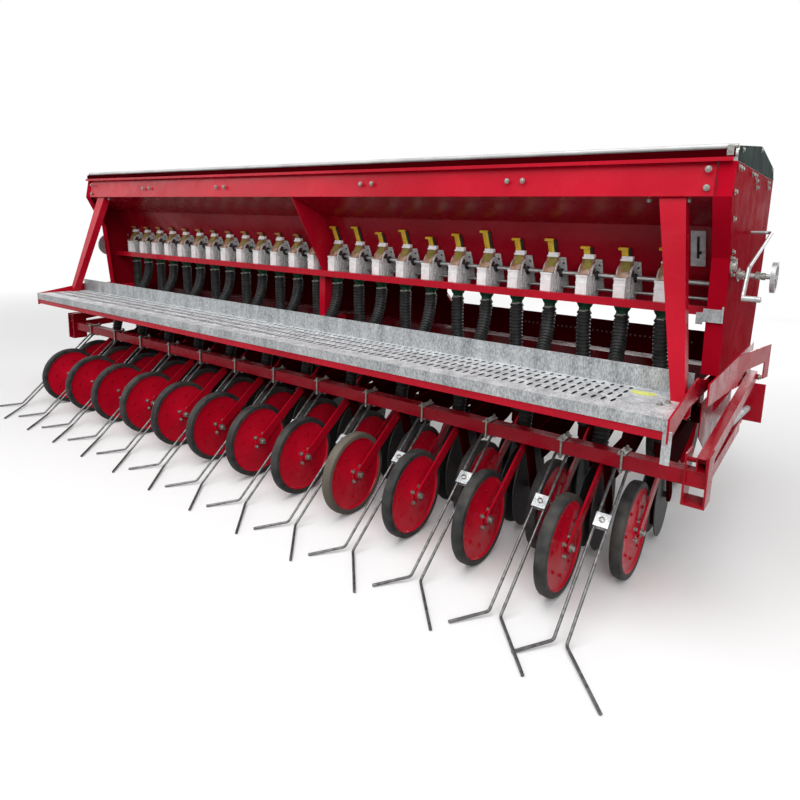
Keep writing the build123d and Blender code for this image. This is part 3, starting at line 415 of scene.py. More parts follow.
def facing(place, normal, spin=0.0):
    # The matrix that stands a piece made on +Z at a place, looking along a normal
    turn = Vector(normal).to_track_quat("Z", "Y").to_matrix().to_4x4()
    return Matrix.Translation(place) @ turn @ Matrix.Rotation(math.radians(spin), 4, "Z")


def joinPieces(name, pieces):
    clearSelection()
    for item in pieces:
        item.select_set(True)
    bpy.context.view_layer.objects.active = pieces[0]
    if len(pieces) > 1:
        bpy.ops.object.join()
    return endEdit(bpy.context.view_layer.objects.active, name)


def blocks(name, corners):
    return joinPieces(name, [block(name, *corner) for corner in corners])


def copies(source, name, matrices, keepSource=False):
    # Copies with their own meshes, joined into one piece
    made = []
    for matrix in matrices:
        mesh = source.data.copy()
        mesh.transform(matrix)
        made.append(bpy.data.objects.new(name, mesh))
        bpy.context.scene.collection.objects.link(made[-1])
    if not keepSource:
        bpy.data.objects.remove(source)
    return joinPieces(name, made)


def settle(piece, material, body="frame", smooth=35):
    # Shading, material, body and slot for a finished piece
    clearSelection()
    piece.select_set(True)
    bpy.context.view_layer.objects.active = piece
    bpy.ops.object.shade_smooth_by_angle(angle=math.radians(smooth))
    if material:
        dressNode(piece, material)
    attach(piece, body)
    return piece


# A bolt head as shares of its radius (washer, crown) and of its height (the rest)
boltShape = {"sides": 12, "washer": 0.45, "washerHeight": 0.2, "headHeight": 0.65, "crown": 0.25, "crownHeight": 0.15}


def makeBolt(radius, height):
    # A bolt head on its washer, made at the origin looking along +Z
    facts = boltShape
    clearSelection()
    bpy.ops.mesh.primitive_cylinder_add(
        vertices=facts["sides"], radius=(1 + facts["washer"]) * radius, depth=facts["washerHeight"] * height,
        location=(0, 0, facts["washerHeight"] / 2 * height))
    piece = applyPlace()
    selectFaces(piece, lambda normal: normal.z > 0.9)
    bpy.ops.mesh.inset(thickness=facts["washer"] * radius)
    bpy.ops.mesh.extrude_region_move(TRANSFORM_OT_translate=shiftBy(0, 0, facts["headHeight"] * height))
    bpy.ops.mesh.inset(thickness=facts["crown"] * radius)
    bpy.ops.transform.translate(value=(0, 0, facts["crownHeight"] * height))
    return endEdit(piece, "boltHead")


def settleBolts(name, size, places, body="frame"):
    return settle(copies(makeBolt(*size), name, places), boltZinc, body)


rowCount = 25
rowPitch = 0.150
thinEdge = 0.0008  # the bevel on thin plates


def rowX(row):
    return (row - rowCount // 2) * rowPitch


def rowPlaces(shift=(0.0, 0.0, 0.0), first=0, step=1):
    return [Matrix.Translation((rowX(row) + shift[0], shift[1], shift[2])) for row in range(first, rowCount, step)]


# Press wheels: rubber tyre, recessed red disc, bolts round the rim and the hub
pressWheel = {
    "radius": 0.171, "rearY": -0.620, "frontY": -0.365, "segments": 64, "dustyWheel": 17,
    "tyre": [(-0.0165, 0.1478), (-0.0200, 0.1505), (-0.0205, 0.1590), (-0.0190, 0.1660),
             (-0.0145, 0.1696), (0.0, 0.1710), (0.0145, 0.1696), (0.0190, 0.1660),
             (0.0205, 0.1590), (0.0200, 0.1505), (0.0165, 0.1478), (-0.0165, 0.1478)],
    "disc": [(0.0160, 0.1490), (0.0182, 0.1475), (0.0176, 0.1448), (0.0132, 0.1415),
             (0.0122, 0.1330), (0.0122, 0.0890), (0.0150, 0.0720), (0.0160, 0.0440),
             (0.0178, 0.0400), (0.0182, 0.0275), (0.0220, 0.0255), (0.0220, 0.0101),
             (-0.0220, 0.0101), (-0.0220, 0.0255), (-0.0050, 0.0275), (0.0090, 0.0400),
             (0.0090, 0.1330), (-0.0150, 0.1440), (-0.0160, 0.1490), (0.0160, 0.1490)],
    "rimBolts": {"size": (0.0050, 0.006), "count": 8, "radius": 0.099, "spin": 35.0, "x": 0.0122},
    "hubBolts": {"size": (0.0064, 0.011), "count": 4, "radius": 0.032, "spin": 55.0, "x": 0.0180},
    "nutSize": (0.0105, 0.015), "nutX": 0.0350,
}


def wheelY(row):
    return pressWheel["rearY"] if row % 2 else pressWheel["frontY"]


def boltRing(name):
    facts = pressWheel[name]
    places = []
    for step in range(facts["count"]):
        angle = math.radians(facts["spin"] + 360.0 * step / facts["count"])
        spot = (facts["x"], facts["radius"] * math.cos(angle), facts["radius"] * math.sin(angle))
        places.append(facing(spot, (1, 0, 0)))
    return copies(makeBolt(*facts["size"]), name, places)


def makePressWheels():
    facts = pressWheel
    tyre = turnedRing("tyre", facts["tyre"], (0, 0, 0), facts["segments"])
    disc = turnedRing("disc", facts["disc"], (0, 0, 0), facts["segments"])
    parts = [tyre, disc, boltRing("rimBolts"), boltRing("hubBolts")]
    # The discs take the lighter copy of the red paint: painted light
    for piece, material in zip(parts, (tyreRubber, redWheelLit, redGloss, boltZinc)):
        dressNode(piece, material)
    wheel = joinPieces("pressWheel", parts)
    for row in range(rowCount):
        body = f"press_wheel_{row + 1:02d}"
        shift = Matrix.Translation((rowX(row), wheelY(row), facts["radius"]))
        piece = settle(copies(wheel, f"pressWheel{row + 1:02d}", [shift], True), None, body)
        if row == facts["dustyWheel"]:
            piece.data.materials[0] = dustyRubber
        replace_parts(piece, body)
    bpy.data.objects.remove(wheel)
    # A nut and washer on each stub axle
    nutPlaces = [facing((rowX(row) + facts["nutX"], wheelY(row), facts["radius"]), (1, 0, 0))
                 for row in range(rowCount)]
    settleBolts("axleNuts", facts["nutSize"], nutPlaces)


makePressWheels()
print("press wheels made")

# Seed meters: white box, grey ribbed housing, amber cover, clip, black ring and mounting ear
meter = {
    "offset": -0.050, "shaftY": -0.003, "shaftZ": 1.010, "camY": 0.016, "camZ": 0.952,
    "slopeFoot": (0.060, 0.950), "slopeTop": (-0.060, 1.212), "proud": 0.001,
    "boxes": [((-0.028, -0.0630, 0.9052), (0.017, -0.030, 1.002), 0.0014),
              ((-0.030, -0.0650, 1.002), (0.019, -0.034, 1.0105), 0.0014),
              ((-0.0295, -0.0645, 0.978), (0.0185, -0.040, 0.983), 0.0008)],
    "housingFoot": [(0.036, 0.9052), (-0.034, 0.9052)], "housingBackZ": (1.040, 0.960),
    "housingRadius": 0.047, "archStart": 212.0, "archStep": 17.5, "archPoints": 9,
    "housingX": -0.0275, "housingWidth": 0.0585,
    "ribDegrees": (205, 225, 245, 265), "ribReach": (0.020, 0.078), "ribHalf": 0.0022, "ribRearY": -0.034,
    "ribLowZ": 0.9055, "ribX": 0.031, "ribWidth": 0.0035,
    "ear": [(0.956, 0.001, 0.956), (1.074, 0.001, 1.074), (1.074, 0.009, 1.070), (0.956, 0.009, 0.954)],
    "earX": 0.0220, "earWidth": 0.0290,
    "cover": [(-0.0600, 1.0105), (-0.0610, 1.0130), (-0.0200, 1.0760), (-0.0020, 1.0760), (-0.0020, 1.0500),
              (-0.0260, 1.0300), (-0.0450, 1.0105)], "coverX": -0.0210, "coverWidth": 0.0440,
    "strip": ((-0.0200, -0.0008, 0.0), (0.0090, 0.0008, 0.042), 0.0004),
    "stripFoot": (0, -0.0464, 1.0369), "stripRun": (0, 0.545, 0.838),
    "wedge": [(-0.0470, 1.0180), (-0.0300, 1.0430), (-0.0100, 1.0350), (-0.0200, 1.0120)],
    "wedgeX": 0.0232, "wedgeWidth": 0.0080,
    "clip": [((-0.0175, -0.0250, 1.0760), (0.0255, -0.0030, 1.0920), 0.0016),
             ((-0.0210, -0.0275, 1.0730), (0.0270, -0.0230, 1.0800), 0.0010)],
    "ring": [(0.0, 0.0140), (0.0, 0.0170), (0.0012, 0.0180), (0.0085, 0.0180), (0.0097, 0.0168),
             (0.0120, 0.0125), (0.0120, 0.0090), (0.0, 0.0090), (0.0, 0.0140)], "ringX": 0.0310,
    "screwSize": (0.0045, 0.005), "screwX": 0.041, "screwZ": 1.050, "screwBack": 0.009,
    "screwFace": (0, -0.909, -0.416),
}


def meterPlaces():
    return rowPlaces((meter["offset"], 0, 0))


def settleEach(unit, name, material):
    # One copy of a unit for each meter
    return settle(copies(unit, name, meterPlaces()), material)


def slopeY(z):
    # The outer face of the hopper's rear slope
    (footY, footZ), (topY, topZ) = meter["slopeFoot"], meter["slopeTop"]
    return footY + (z - footZ) / (topZ - footZ) * (topY - footY)


def makeRib(degrees):
    facts = meter
    angle = math.radians(degrees)
    out, side = Vector((math.cos(angle), math.sin(angle))), Vector((-math.sin(angle), math.cos(angle)))
    axis = Vector((facts["shaftY"], facts["shaftZ"]))
    near, far = (axis + reach * out for reach in facts["ribReach"])
    far.x = max(far.x, facts["ribRearY"])
    side *= facts["ribHalf"]
    corners = [near - side, far - side, far + side, near + side]
    outline = [(y, max(z, facts["ribLowZ"])) for y, z in corners]
    return plateYZ("rib", outline, facts["ribX"], facts["ribWidth"])


def makeHousing():
    facts = meter
    outline = list(facts["housingFoot"])
    for step in range(facts["archPoints"]):
        angle = math.radians(facts["archStart"] - facts["archStep"] * step)
        outline.append((facts["shaftY"] + facts["housingRadius"] * math.cos(angle),
                        facts["shaftZ"] + facts["housingRadius"] * math.sin(angle)))
    outline += [(slopeY(z) - facts["proud"], z) for z in facts["housingBackZ"]]
    parts = [plateYZ("housing", outline, facts["housingX"], facts["housingWidth"], 0.0010)]
    parts += [makeRib(degrees) for degrees in facts["ribDegrees"]]
    ear = [(slopeY(level) - back, z) for level, back, z in facts["ear"]]
    parts.append(plateYZ("ear", ear, facts["earX"], facts["earWidth"], 0.0020))
    return joinPieces("housing", parts)


def makeMeters():
    facts = meter
    settleEach(blocks("box", facts["boxes"]), "meterBoxes", meterWhite)
    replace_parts(settleEach(makeHousing(), "meterHousings", meterGrey), "seed_meters")
    cover = plateYZ("cover", facts["cover"], facts["coverX"], facts["coverWidth"], 0.0010)
    settleEach(cover, "meterCovers", amberPlastic)
    strip = block("seenStrip", *facts["strip"])
    strip.data.transform(facing(facts["stripFoot"], facts["stripRun"]))
    settleEach(strip, "stripsUnderCovers", oliveStrip)
    wedge = plateYZ("wedge", facts["wedge"], facts["wedgeX"], facts["wedgeWidth"], 0.0008)
    settleEach(wedge, "meterWedges", wedgeBrown)
    settleEach(blocks("clip", facts["clip"]), "meterClips", meterWhite)
    ring = turnedRing("ring", facts["ring"], (facts["ringX"], facts["shaftY"], facts["shaftZ"]), 18)
    settleEach(ring, "shaftRings", blackPlastic)
    spot = (facts["screwX"], slopeY(facts["screwZ"]) - facts["screwBack"], facts["screwZ"])
    places = [place @ facing(spot, facts["screwFace"]) for place in meterPlaces()]
    settle(copies(makeBolt(*facts["screwSize"]), "earScrews", places), darkSteel)


makeMeters()

# The feed shaft and the cam shaft between the end plates, and the stubs out to the hand wheels
shafts = {"half": 1.9755, "feedRadius": 0.009, "camRadius": 0.006,
          "stubX": (1.9765, 2.0995), "stubAt": (-0.003, 1.048), "stubRadius": 0.0090}


def makeShafts():
    facts, half = shafts, shafts["half"]
    feed, cam = (meter["shaftY"], meter["shaftZ"]), (meter["camY"], meter["camZ"])
    pieces = [rod("feed", (-half, *feed), (half, *feed), facts["feedRadius"], 20),
              rod("cam", (-half, *cam), (half, *cam), facts["camRadius"], 16)]
    near, far = facts["stubX"]
    pieces += [rod("stub", (side * near, *facts["stubAt"]), (side * far, *facts["stubAt"]), facts["stubRadius"],
                   20, 0.001) for side in (-1, 1)]
    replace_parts(settle(joinPieces("feedShafts", pieces), brightSteel), "meter_shafts")


makeShafts()
print("meters made")

# Slide strips: a graduated yellow strip with a tab, and the black holder beside it
strips = {
    "reaches": (0.040, 0.039, 0.043, 0.044, 0.041, 0.042, 0.039, 0.039, 0.043, 0.041, 0.043, 0.042, 0.050,
                0.097, 0.100, 0.074, 0.092, 0.061, 0.083, 0.104, 0.074, 0.078, 0.051, 0.053, 0.060),
    "footZ": 1.076, "lean": 24.61, "back": 0.008, "low": 0.010, "brownRows": 13,
    "strip": {"x": (-0.020, 0.005), "y": (-0.0015, 0.0015), "short": 0.006, "bevel": 0.0005},
    "holder": {"x": (0.0055, 0.0185), "y": (-0.0010, 0.0060), "short": 0.004, "bevel": 0.0020},
    "tab": ((-0.031, -0.0070, -0.009), (0.007, 0.0040, 0.0), 0.0014),
    "mark": ((-0.018, -0.0019, 0.0), (-0.006, -0.0015, 0.0012)),
    "marksFrom": 0.022, "markPitch": 0.010, "marksEnd": 0.028,
}


def makeBar(name, reach):
    # A flat bar from the strips' foot to just short of their reach
    facts = strips[name]
    low, high = zip(facts["x"], facts["y"], (strips["low"], reach - facts["short"]))
    return block(name, low, high, facts["bevel"])


def raised(name, z):
    # A small block of the strips' facts, lifted to a height
    low, high, *bevel = strips[name]
    return block(name, (*low[:2], low[2] + z), (*high[:2], high[2] + z), *bevel)


def makeStrips():
    facts = strips
    foot = Vector((0, slopeY(facts["footZ"]) - facts["back"], facts["footZ"]))
    lean = Matrix.Translation(foot) @ Matrix.Rotation(math.radians(facts["lean"]), 4, "X")
    yellow, brownish, black, marks = [], [], [], []
    for row, reach in enumerate(facts["reaches"]):
        parts = [makeBar("strip", reach), raised("tab", reach)]
        holder = makeBar("holder", reach)
        ticks = [raised("mark", facts["marksFrom"] + facts["markPitch"] * step)
                 for step in range(int((reach - facts["marksEnd"]) / facts["markPitch"]))]
        for part in parts + [holder] + ticks:
            part.data.transform(Matrix.Translation((rowX(row) + meter["offset"], 0, 0)) @ lean)
        # The first rows' strips and tabs are orange-brown, the rest yellow
        (brownish if row < facts["brownRows"] else yellow).extend(parts)
        black.append(holder)
        marks += ticks
    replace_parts(settle(joinPieces("gateStrips", yellow), gateYellow), "meter_gates")
    settle(joinPieces("gateStripsBrown", brownish), gateBrown)
    settle(joinPieces("gateHolders", black), blackPlastic)
    settle(joinPieces("gateMarks", marks), wedgeBrown)


makeStrips()
print("strips made")

# Hoses: a corrugated tube, one ring repeated by an array and bent along its run by a curve
hose = {
    "radius": 0.0290, "groove": 0.0252, "ringPitch": 0.0150, "ringShares": (0.22, 0.38, 0.84, 1.0), "segments": 18,
    "cupY": -0.014, "topZ": 0.8655, "bootZ": 0.400, "rearBoot": -0.300, "frontBoot": -0.045,
    "shares": ((0, 0, 0), (0, 0, 0.20), (0.26, 0.26, 0.42), (0.74, 0.74, 0.62), (1, 1, 0.82), (1, 1, 1)),
}


def makeHosePath(name, bootY):
    facts = hose
    curve = bpy.data.curves.new(name, "CURVE")
    curve.dimensions = "3D"
    curve.resolution_u = 24
    spline = curve.splines.new("NURBS")
    spline.points.add(len(facts["shares"]) - 1)
    for point, (across, back, down) in zip(spline.points, facts["shares"]):
        point.co = (meter["offset"] * (1 - across), facts["cupY"] + back * (bootY - facts["cupY"]),
                    facts["topZ"] - down * (facts["topZ"] - facts["bootZ"]), 1.0)
    spline.order_u = 4
    spline.use_endpoint_u = True
    path = bpy.data.objects.new(name, curve)
    bpy.context.scene.collection.objects.link(path)
    return path, spline.calc_length()


def makeHose(name, bootY):
    facts = hose
    path, length = makeHosePath(name + "Path", bootY)
    ringCount = int(length / facts["ringPitch"])
    pitch = length / ringCount
    tube = openRing(facts["groove"], facts["segments"], (0, 0, 0))
    radii = (facts["groove"], facts["radius"], facts["radius"], facts["groove"])
    profile = [(share * pitch, radius) for share, radius in zip(facts["ringShares"], radii)]
    extrudeRings([(0.0, facts["groove"])] + profile)
    bpy.ops.object.mode_set(mode="OBJECT")
    array = tube.modifiers.new("rings", "ARRAY")
    array.count = ringCount
    array.use_merge_vertices = True
    array.merge_threshold = 0.0001
    tube.modifiers.new("bend", "CURVE").object = path
    for modifier in ("rings", "bend"):
        bpy.ops.object.modifier_apply(modifier=modifier)
    closeEnds()
    bpy.data.objects.remove(path)
    return endEdit(tube, name)


def makeHoses():
    for name, bootY, first in (("rearHoses", hose["rearBoot"], 1), ("frontHoses", hose["frontBoot"], 0)):
        piece = copies(makeHose(name, bootY), name, rowPlaces(first=first, step=2))
        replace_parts(settle(piece, hoseRubber), "hoses")


makeHoses()

# Cups: a wide green collar round the top of each, over the node's narrower cup
cupCollar = {"y": -0.014, "top": 0.9050, "segments": 20,
             "profile": [(0.0, 0.0340), (0.0070, 0.0340), (0.0240, 0.0262), (0.0250, 0.0222), (0.0, 0.0222),
                         (0.0, 0.0340)]}


def makeCupCollars():
    facts = cupCollar
    collar = turnedRing("cupCollars", facts["profile"], (0, 0, 0), facts["segments"])
    upright = Matrix.Rotation(math.radians(90), 4, "Y")
    collar.data.transform(Matrix.Translation((0, facts["y"], facts["top"])) @ upright)
    settleEach(collar, "cupCollars", cupGreen)


makeCupCollars()

# Coil springs over the opener arms, each round a thin rod
coil = {"shiftX": 0.040, "y": 0.150, "low": 0.4435, "high": 0.5930, "radius": 0.0135, "wire": 0.0034, "turns": 8,
        "steps": 14, "wireSides": 7, "rodRadius": 0.0055}


def makeCoils():
    facts = coil
    clearSelection()
    bpy.ops.mesh.primitive_circle_add(
        vertices=facts["wireSides"], radius=facts["wire"], location=(facts["radius"], 0, 0),
        rotation=(math.radians(90), 0, 0))
    spring = applyPlace()
    turn = spring.modifiers.new("coil", "SCREW")
    turn.axis = "Z"
    turn.screw_offset = (facts["high"] - facts["low"] - 2 * facts["wire"]) / facts["turns"]
    turn.iterations = facts["turns"]
    turn.steps = turn.render_steps = facts["steps"]
    turn.use_merge_vertices = False
    bpy.ops.object.modifier_apply(modifier="coil")
    closeEnds()
    endEdit(spring, "coil")
    spring.data.transform(Matrix.Translation((0, 0, facts["low"] + facts["wire"])))
    core = rod("core", (0, 0, facts["low"]), (0, 0, facts["high"]), facts["rodRadius"], 12)
    unit = joinPieces("coil", [spring, core])
    places = rowPlaces((facts["shiftX"], facts["y"], 0))
    springs = settle(copies(unit, "coilSprings", places), darkSteel, smooth=50)
    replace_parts(springs, "pressure_springs")


makeCoils()

# Bright clamps at the foot of each cup
hoseClamp = {"y": -0.014, "z": 0.866, "radius": 0.0235, "width": 0.010, "rim": 0.0012,
             "screwX": (-0.012, 0.014), "screwRadius": 0.0048, "screwOut": 0.0035}


def makeHoseClamps():
    facts = hoseClamp
    clearSelection()
    bpy.ops.mesh.primitive_cylinder_add(
        vertices=20, radius=facts["radius"], depth=facts["width"], location=(0, facts["y"], facts["z"]))
    band = applyPlace()
    selectFaces(band, lambda normal: abs(normal.z) > 0.9)
    bpy.ops.mesh.inset(thickness=facts["rim"])
    bpy.ops.mesh.delete(type="ONLY_FACE")
    bpy.ops.object.mode_set(mode="OBJECT")
    near, far = ((x, facts["y"] - facts["radius"] - facts["screwOut"], facts["z"]) for x in facts["screwX"])
    screw = rod("screw", near, far, facts["screwRadius"], 10, 0.001)
    settleEach(joinPieces("clamp", [band, screw]), "hoseClamps", boltZinc)


makeHoseClamps()
print("hoses made")

# Walkway: four rows of pressed slots, each a long gap with a raised rim and a black floor as painted shade, and a smear
# of yellow paint
treads = {
    "rowsY": (-0.393, -0.448, -0.510, -0.575), "lengths": (0.030, 0.044, 0.046, 0.047), "width": 0.0112,
    "startX": -1.900, "endX": 1.764, "pitchX": 0.0310, "top": 0.6740, "rim": 0.0035, "lift": 0.0022,
    "clear": 0.0001, "gapLift": 0.0002, "gapShare": (0.96, 0.98),
    "smearAt": (1.812, -0.425), "smearSize": (0.085, 0.050), "smearClear": 0.0003, "smearLift": 0.0002,
    "smearEdge": 0.006, "smearWave": (0.16, 40.0),
}


def makeSlot(length):
    facts = treads
    wide, long = facts["width"] + 2 * facts["rim"], length + 2 * facts["rim"]
    clearSelection()
    bpy.ops.mesh.primitive_circle_add(vertices=12, radius=0.5, location=(0, 0, facts["clear"]))
    bpy.context.object.scale = (wide, long, 1.0)
    slot = applyPlace()
    editAll()
    for across, along, rise in ((facts["width"] / wide, length / long, facts["lift"]),
                                (*facts["gapShare"], facts["gapLift"] - facts["lift"])):
        bpy.ops.mesh.extrude_edges_move(TRANSFORM_OT_translate=shiftBy(0, 0, rise))
        bpy.ops.transform.resize(value=(across, along, 1.0), center_override=(0, 0, 0))
    bpy.ops.mesh.edge_face_add()
    bpy.ops.object.mode_set(mode="OBJECT")
    # The gap's walls and floor are black: painted shade
    dressNode(slot, zincWalk, slotBlack)
    for face in slot.data.polygons:
        gap = abs(face.normal.z) < 0.4 or len(face.vertices) > 4
        face.material_index = 1 if gap else 0
    return endEdit(slot, "slot")


def makeTreads():
    facts = treads
    count = int(round((facts["endX"] - facts["startX"]) / facts["pitchX"])) + 1
    rows = []
    for y, length in zip(facts["rowsY"], facts["lengths"]):
        places = [Matrix.Translation((facts["endX"] - step * facts["pitchX"], y, facts["top"]))
                  for step in range(count)]
        rows.append(copies(makeSlot(length), "treadRow", places))
    settle(joinPieces("treadSlots", rows), None)


def makeSmear():
    facts = treads
    clearSelection()
    bpy.ops.mesh.primitive_circle_add(
        vertices=20, radius=0.5, fill_type="NGON", location=(0, 0, facts["top"] + facts["smearClear"]))
    bpy.context.object.scale = (*facts["smearSize"], 1.0)
    smear = applyPlace()
    editAll()
    bpy.ops.mesh.inset(thickness=facts["smearEdge"])
    bpy.ops.transform.translate(value=(0, 0, facts["smearLift"]))
    endEdit(smear, "paintSmear")
    height, pace = facts["smearWave"]
    for vertex in smear.data.vertices:
        vertex.co.y += height * vertex.co.x * math.sin(pace * vertex.co.x)
    smear.data.transform(Matrix.Translation((*facts["smearAt"], 0)))
    settle(smear, yellowSmear)


makeTreads()
makeSmear()
print("walkway made")

# Opener bodies: a web plate beside each arm, its red darkened as painted shade
openerWeb = {
    "shift": 0.026, "thickness": 0.005,
    "rear": [(0.300, 0.585), (0.300, 0.380), (0.100, 0.300), (-0.060, 0.270), (-0.170, 0.260), (-0.190, 0.330),
             (-0.110, 0.450), (0.030, 0.560)],
    "front": [(0.420, 0.585), (0.420, 0.360), (0.180, 0.270), (0.060, 0.260), (0.010, 0.340), (0.060, 0.460),
              (0.160, 0.560)],
}


def makeOpenerWebs():
    facts = openerWeb
    made = []
    for rank, first in (("front", 0), ("rear", 1)):
        web = plateYZ("web", facts[rank], facts["shift"], facts["thickness"], thinEdge)
        made.append(copies(web, "web", rowPlaces(first=first, step=2)))
    settle(joinPieces("openerWebs", made), redDeepShade)


makeOpenerWebs()

# Front guard: a sheet on the front beam, its red darkened as painted shade, taller on the left, with a row of small
# studs, and the strip that closes the gap between the hopper's foot and the meters
guard = {"y": 0.4465, "thickness": 0.003, "low": 0.600, "high": 0.768, "tall": 0.885, "lap": 0.001,
         "stepX": 0.500, "half": 1.975,
         "studSize": (0.0032, 0.004), "studZ": 0.712, "studPitch": 0.022, "studStart": 0.960, "studCount": 38,
         "apron": ((-1.9755, 0.0575, 0.897), (1.9755, 0.0595, 0.9530), 0.0005)}


def makeGuard():
    facts, half = guard, guard["half"]
    near, far = facts["y"], facts["y"] + facts["thickness"]
    sheets = blocks("frontGuard", [
        ((-half, near, facts["low"]), (half, far, facts["high"]), thinEdge),
        ((-half, near, facts["high"] - facts["lap"]), (facts["stepX"], far, facts["tall"]), thinEdge)])
    # The sheets' dark red is painted shade
    settle(sheets, redShade)
    places = [facing((facts["studStart"] + step * facts["studPitch"], near, facts["studZ"]), (0, -1, 0))
              for step in range(facts["studCount"])]
    settleBolts("guardStuds", facts["studSize"], places)
    settle(block("hopperApron", *facts["apron"]), redShellShade)


makeGuard()

# Bolts on the hopper's band, the posts, the walkway and the end plates, and the plates' slots as thin black blocks of
# painted shade
bolts = {
    "bandSize": (0.0072, 0.009), "bandY": -0.2899,
    "band": [(-1.273, 1.356), (-1.207, 1.357), (-0.553, 1.357), (-0.484, 1.357), (0.483, 1.360), (0.547, 1.361),
             (1.211, 1.362), (1.275, 1.362), (1.906, 1.388), (1.906, 1.331), (-1.893, 1.383), (-1.900, 1.325)],
    "posts": [(1.729, -0.2620), (1.853, -0.2620), (-1.729, -0.2620), (-1.853, -0.2620)],
    "postsZ": 1.2935, "postsFace": (0, -0.376, -0.927),
    "tread": [(1.889, -0.525), (1.903, -0.485)],
    "endSize": (0.0068, 0.008), "endX": 1.981,
    "end": [(-0.226, 1.397), (-0.172, 1.396), (0.059, 1.396), (0.131, 1.396), (0.172, 1.380), (0.192, 1.358),
            (0.493, 1.393), (0.513, 1.374), (-0.250, 1.320), (-0.215, 1.237), (-0.155, 1.131)],
    "pivotSize": (0.0100, 0.012), "pivot": (2.0318, 0.557, 0.581),
    "slots": [(-0.100, 1.019, 0.045), (0.430, 0.991, 0.030), (0.554, 0.885, 0.035)],
    "slotHalf": 0.006, "slotThickness": 0.0006,
}


def onEnds(x, places):
    # Outward-facing places at both ends of the machine
    return [facing((side * x, y, z), (side, 0, 0)) for side in (-1, 1) for y, z in places]


def makeBolts():
    facts = bolts
    places = [facing((x, facts["bandY"], z), (0, -1, 0), 15.0) for x, z in facts["band"]]
    places += [facing((x, y, facts["postsZ"]), facts["postsFace"]) for x, y in facts["posts"]]
    places += [facing((x, y, treads["top"]), (0, 0, 1)) for x, y in facts["tread"]]
    settleBolts("bandBolts", facts["bandSize"], places)
    settleBolts("endBolts", facts["endSize"], onEnds(facts["endX"], facts["end"]))
    pivotX, *pivot = facts["pivot"]
    settleBolts("pivotBolts", facts["pivotSize"], onEnds(pivotX, [pivot]), "harrow")
    # Thin black blocks for the slots: painted shade
    corners = []
    for side in (-1, 1):
        for y, z, height in facts["slots"]:
            near, far = sorted((side * facts["endX"], side * (facts["endX"] + facts["slotThickness"])))
            half = facts["slotHalf"]
            corners.append(((near, y - half, z - height / 2), (far, y + half, z + height / 2)))
    settle(blocks("endSlots", corners), slotBlack)


makeBolts()

# U-bolts that hold the tine clamps to the harrow tube, with a top plate and nuts, and the clamps' own bolts
uBolt = {"firstX": -1.747, "pitch": 0.300, "count": 12, "lastX": 1.765, "radius": 0.0045,
         "rearY": -0.4290, "frontY": -0.3690, "low": 0.388, "high": 0.470, "tubeTop": 0.4532,
         "nutSize": (0.0065, 0.009), "lowNutZ": 0.400, "plateHalf": 0.0145, "plateEdge": 0.008, "plateThickness": 0.005,
         "clampSize": (0.0095, 0.010), "clampAt": (-0.5725, 0.2711), "clampFace": (0, -0.649, 0.761),
         "clampOut": 0.0085}


def makeUBolts():
    facts = uBolt
    columns = [facts["firstX"] + facts["pitch"] * step for step in range(facts["count"])] + [facts["lastX"]]
    places = [Matrix.Translation((x, 0, 0)) for x in columns]
    legs = (facts["rearY"], facts["frontY"])
    plateTop = facts["tubeTop"] + facts["plateThickness"]
    parts = [rod("leg", (0, y, facts["low"]), (0, y, facts["high"]), facts["radius"], 10, 0.001) for y in legs]
    for y in legs:
        for z, look in ((plateTop, 1), (facts["lowNutZ"], -1)):
            parts.append(copies(makeBolt(*facts["nutSize"]), "nut", [facing((0, y, z), (0, 0, look))]))
    settle(copies(joinPieces("uBolt", parts), "uBolts", places), boltZinc, "harrow")
    plate = block("plate", (-facts["plateHalf"], facts["rearY"] - facts["plateEdge"], facts["tubeTop"]),
                  (facts["plateHalf"], facts["frontY"] + facts["plateEdge"], plateTop), 0.001)
    settle(copies(plate, "uBoltPlates", places), boltZinc, "harrow")
    normal = Vector(facts["clampFace"])
    places = [facing(Vector((x, *facts["clampAt"])) + facts["clampOut"] * normal, normal) for x in columns]
    settleBolts("clampBolts", facts["clampSize"], places, "harrow")


makeUBolts()
print("bolts made")

# Lid gables: a dark plate over each end with its bolts, and the small hooks at the right rear corner
gable = {"x": 1.9813, "thickness": 0.0016, "boltSize": (0.006, 0.005),
         "outline": [(-0.268, 1.4135), (-0.262, 1.458), (0.186, 1.5035), (0.222, 1.5035), (0.592, 1.459),
                     (0.644, 1.4135)],
         "bolts": [(-0.200, 1.452), (0.200, 1.492), (0.560, 1.452)],
         "hook": ((1.950, -0.2800, 1.4280), (1.970, -0.2765, 1.4600), 0.001),
         "plug": ((1.955, -0.264, 1.4565), (1.9800, -0.264, 1.4565), 0.0075, 14, 0.0015),
         "pin": ((1.960, -0.2850, 1.442), (1.960, -0.2760, 1.442), 0.005, 10, 0.001)}


def mirroredPlates(name, outline, x, thickness, bevel):
    return joinPieces(name, [plateYZ(name, outline, side * x, side * thickness, bevel) for side in (-1, 1)])


def makeGables():
    facts = gable
    plates = mirroredPlates("lidGables", facts["outline"], facts["x"], facts["thickness"], 0.0004)
    settle(plates, gableGreen, "lid")
    settleBolts("gableBolts", facts["boltSize"], onEnds(facts["x"] + facts["thickness"], facts["bolts"]), "lid")
    hooks = [block("hook", *facts["hook"]), rod("plug", *facts["plug"]), rod("pin", *facts["pin"])]
    settle(joinPieces("lidHooks", hooks), boltZinc, "lid")


makeGables()

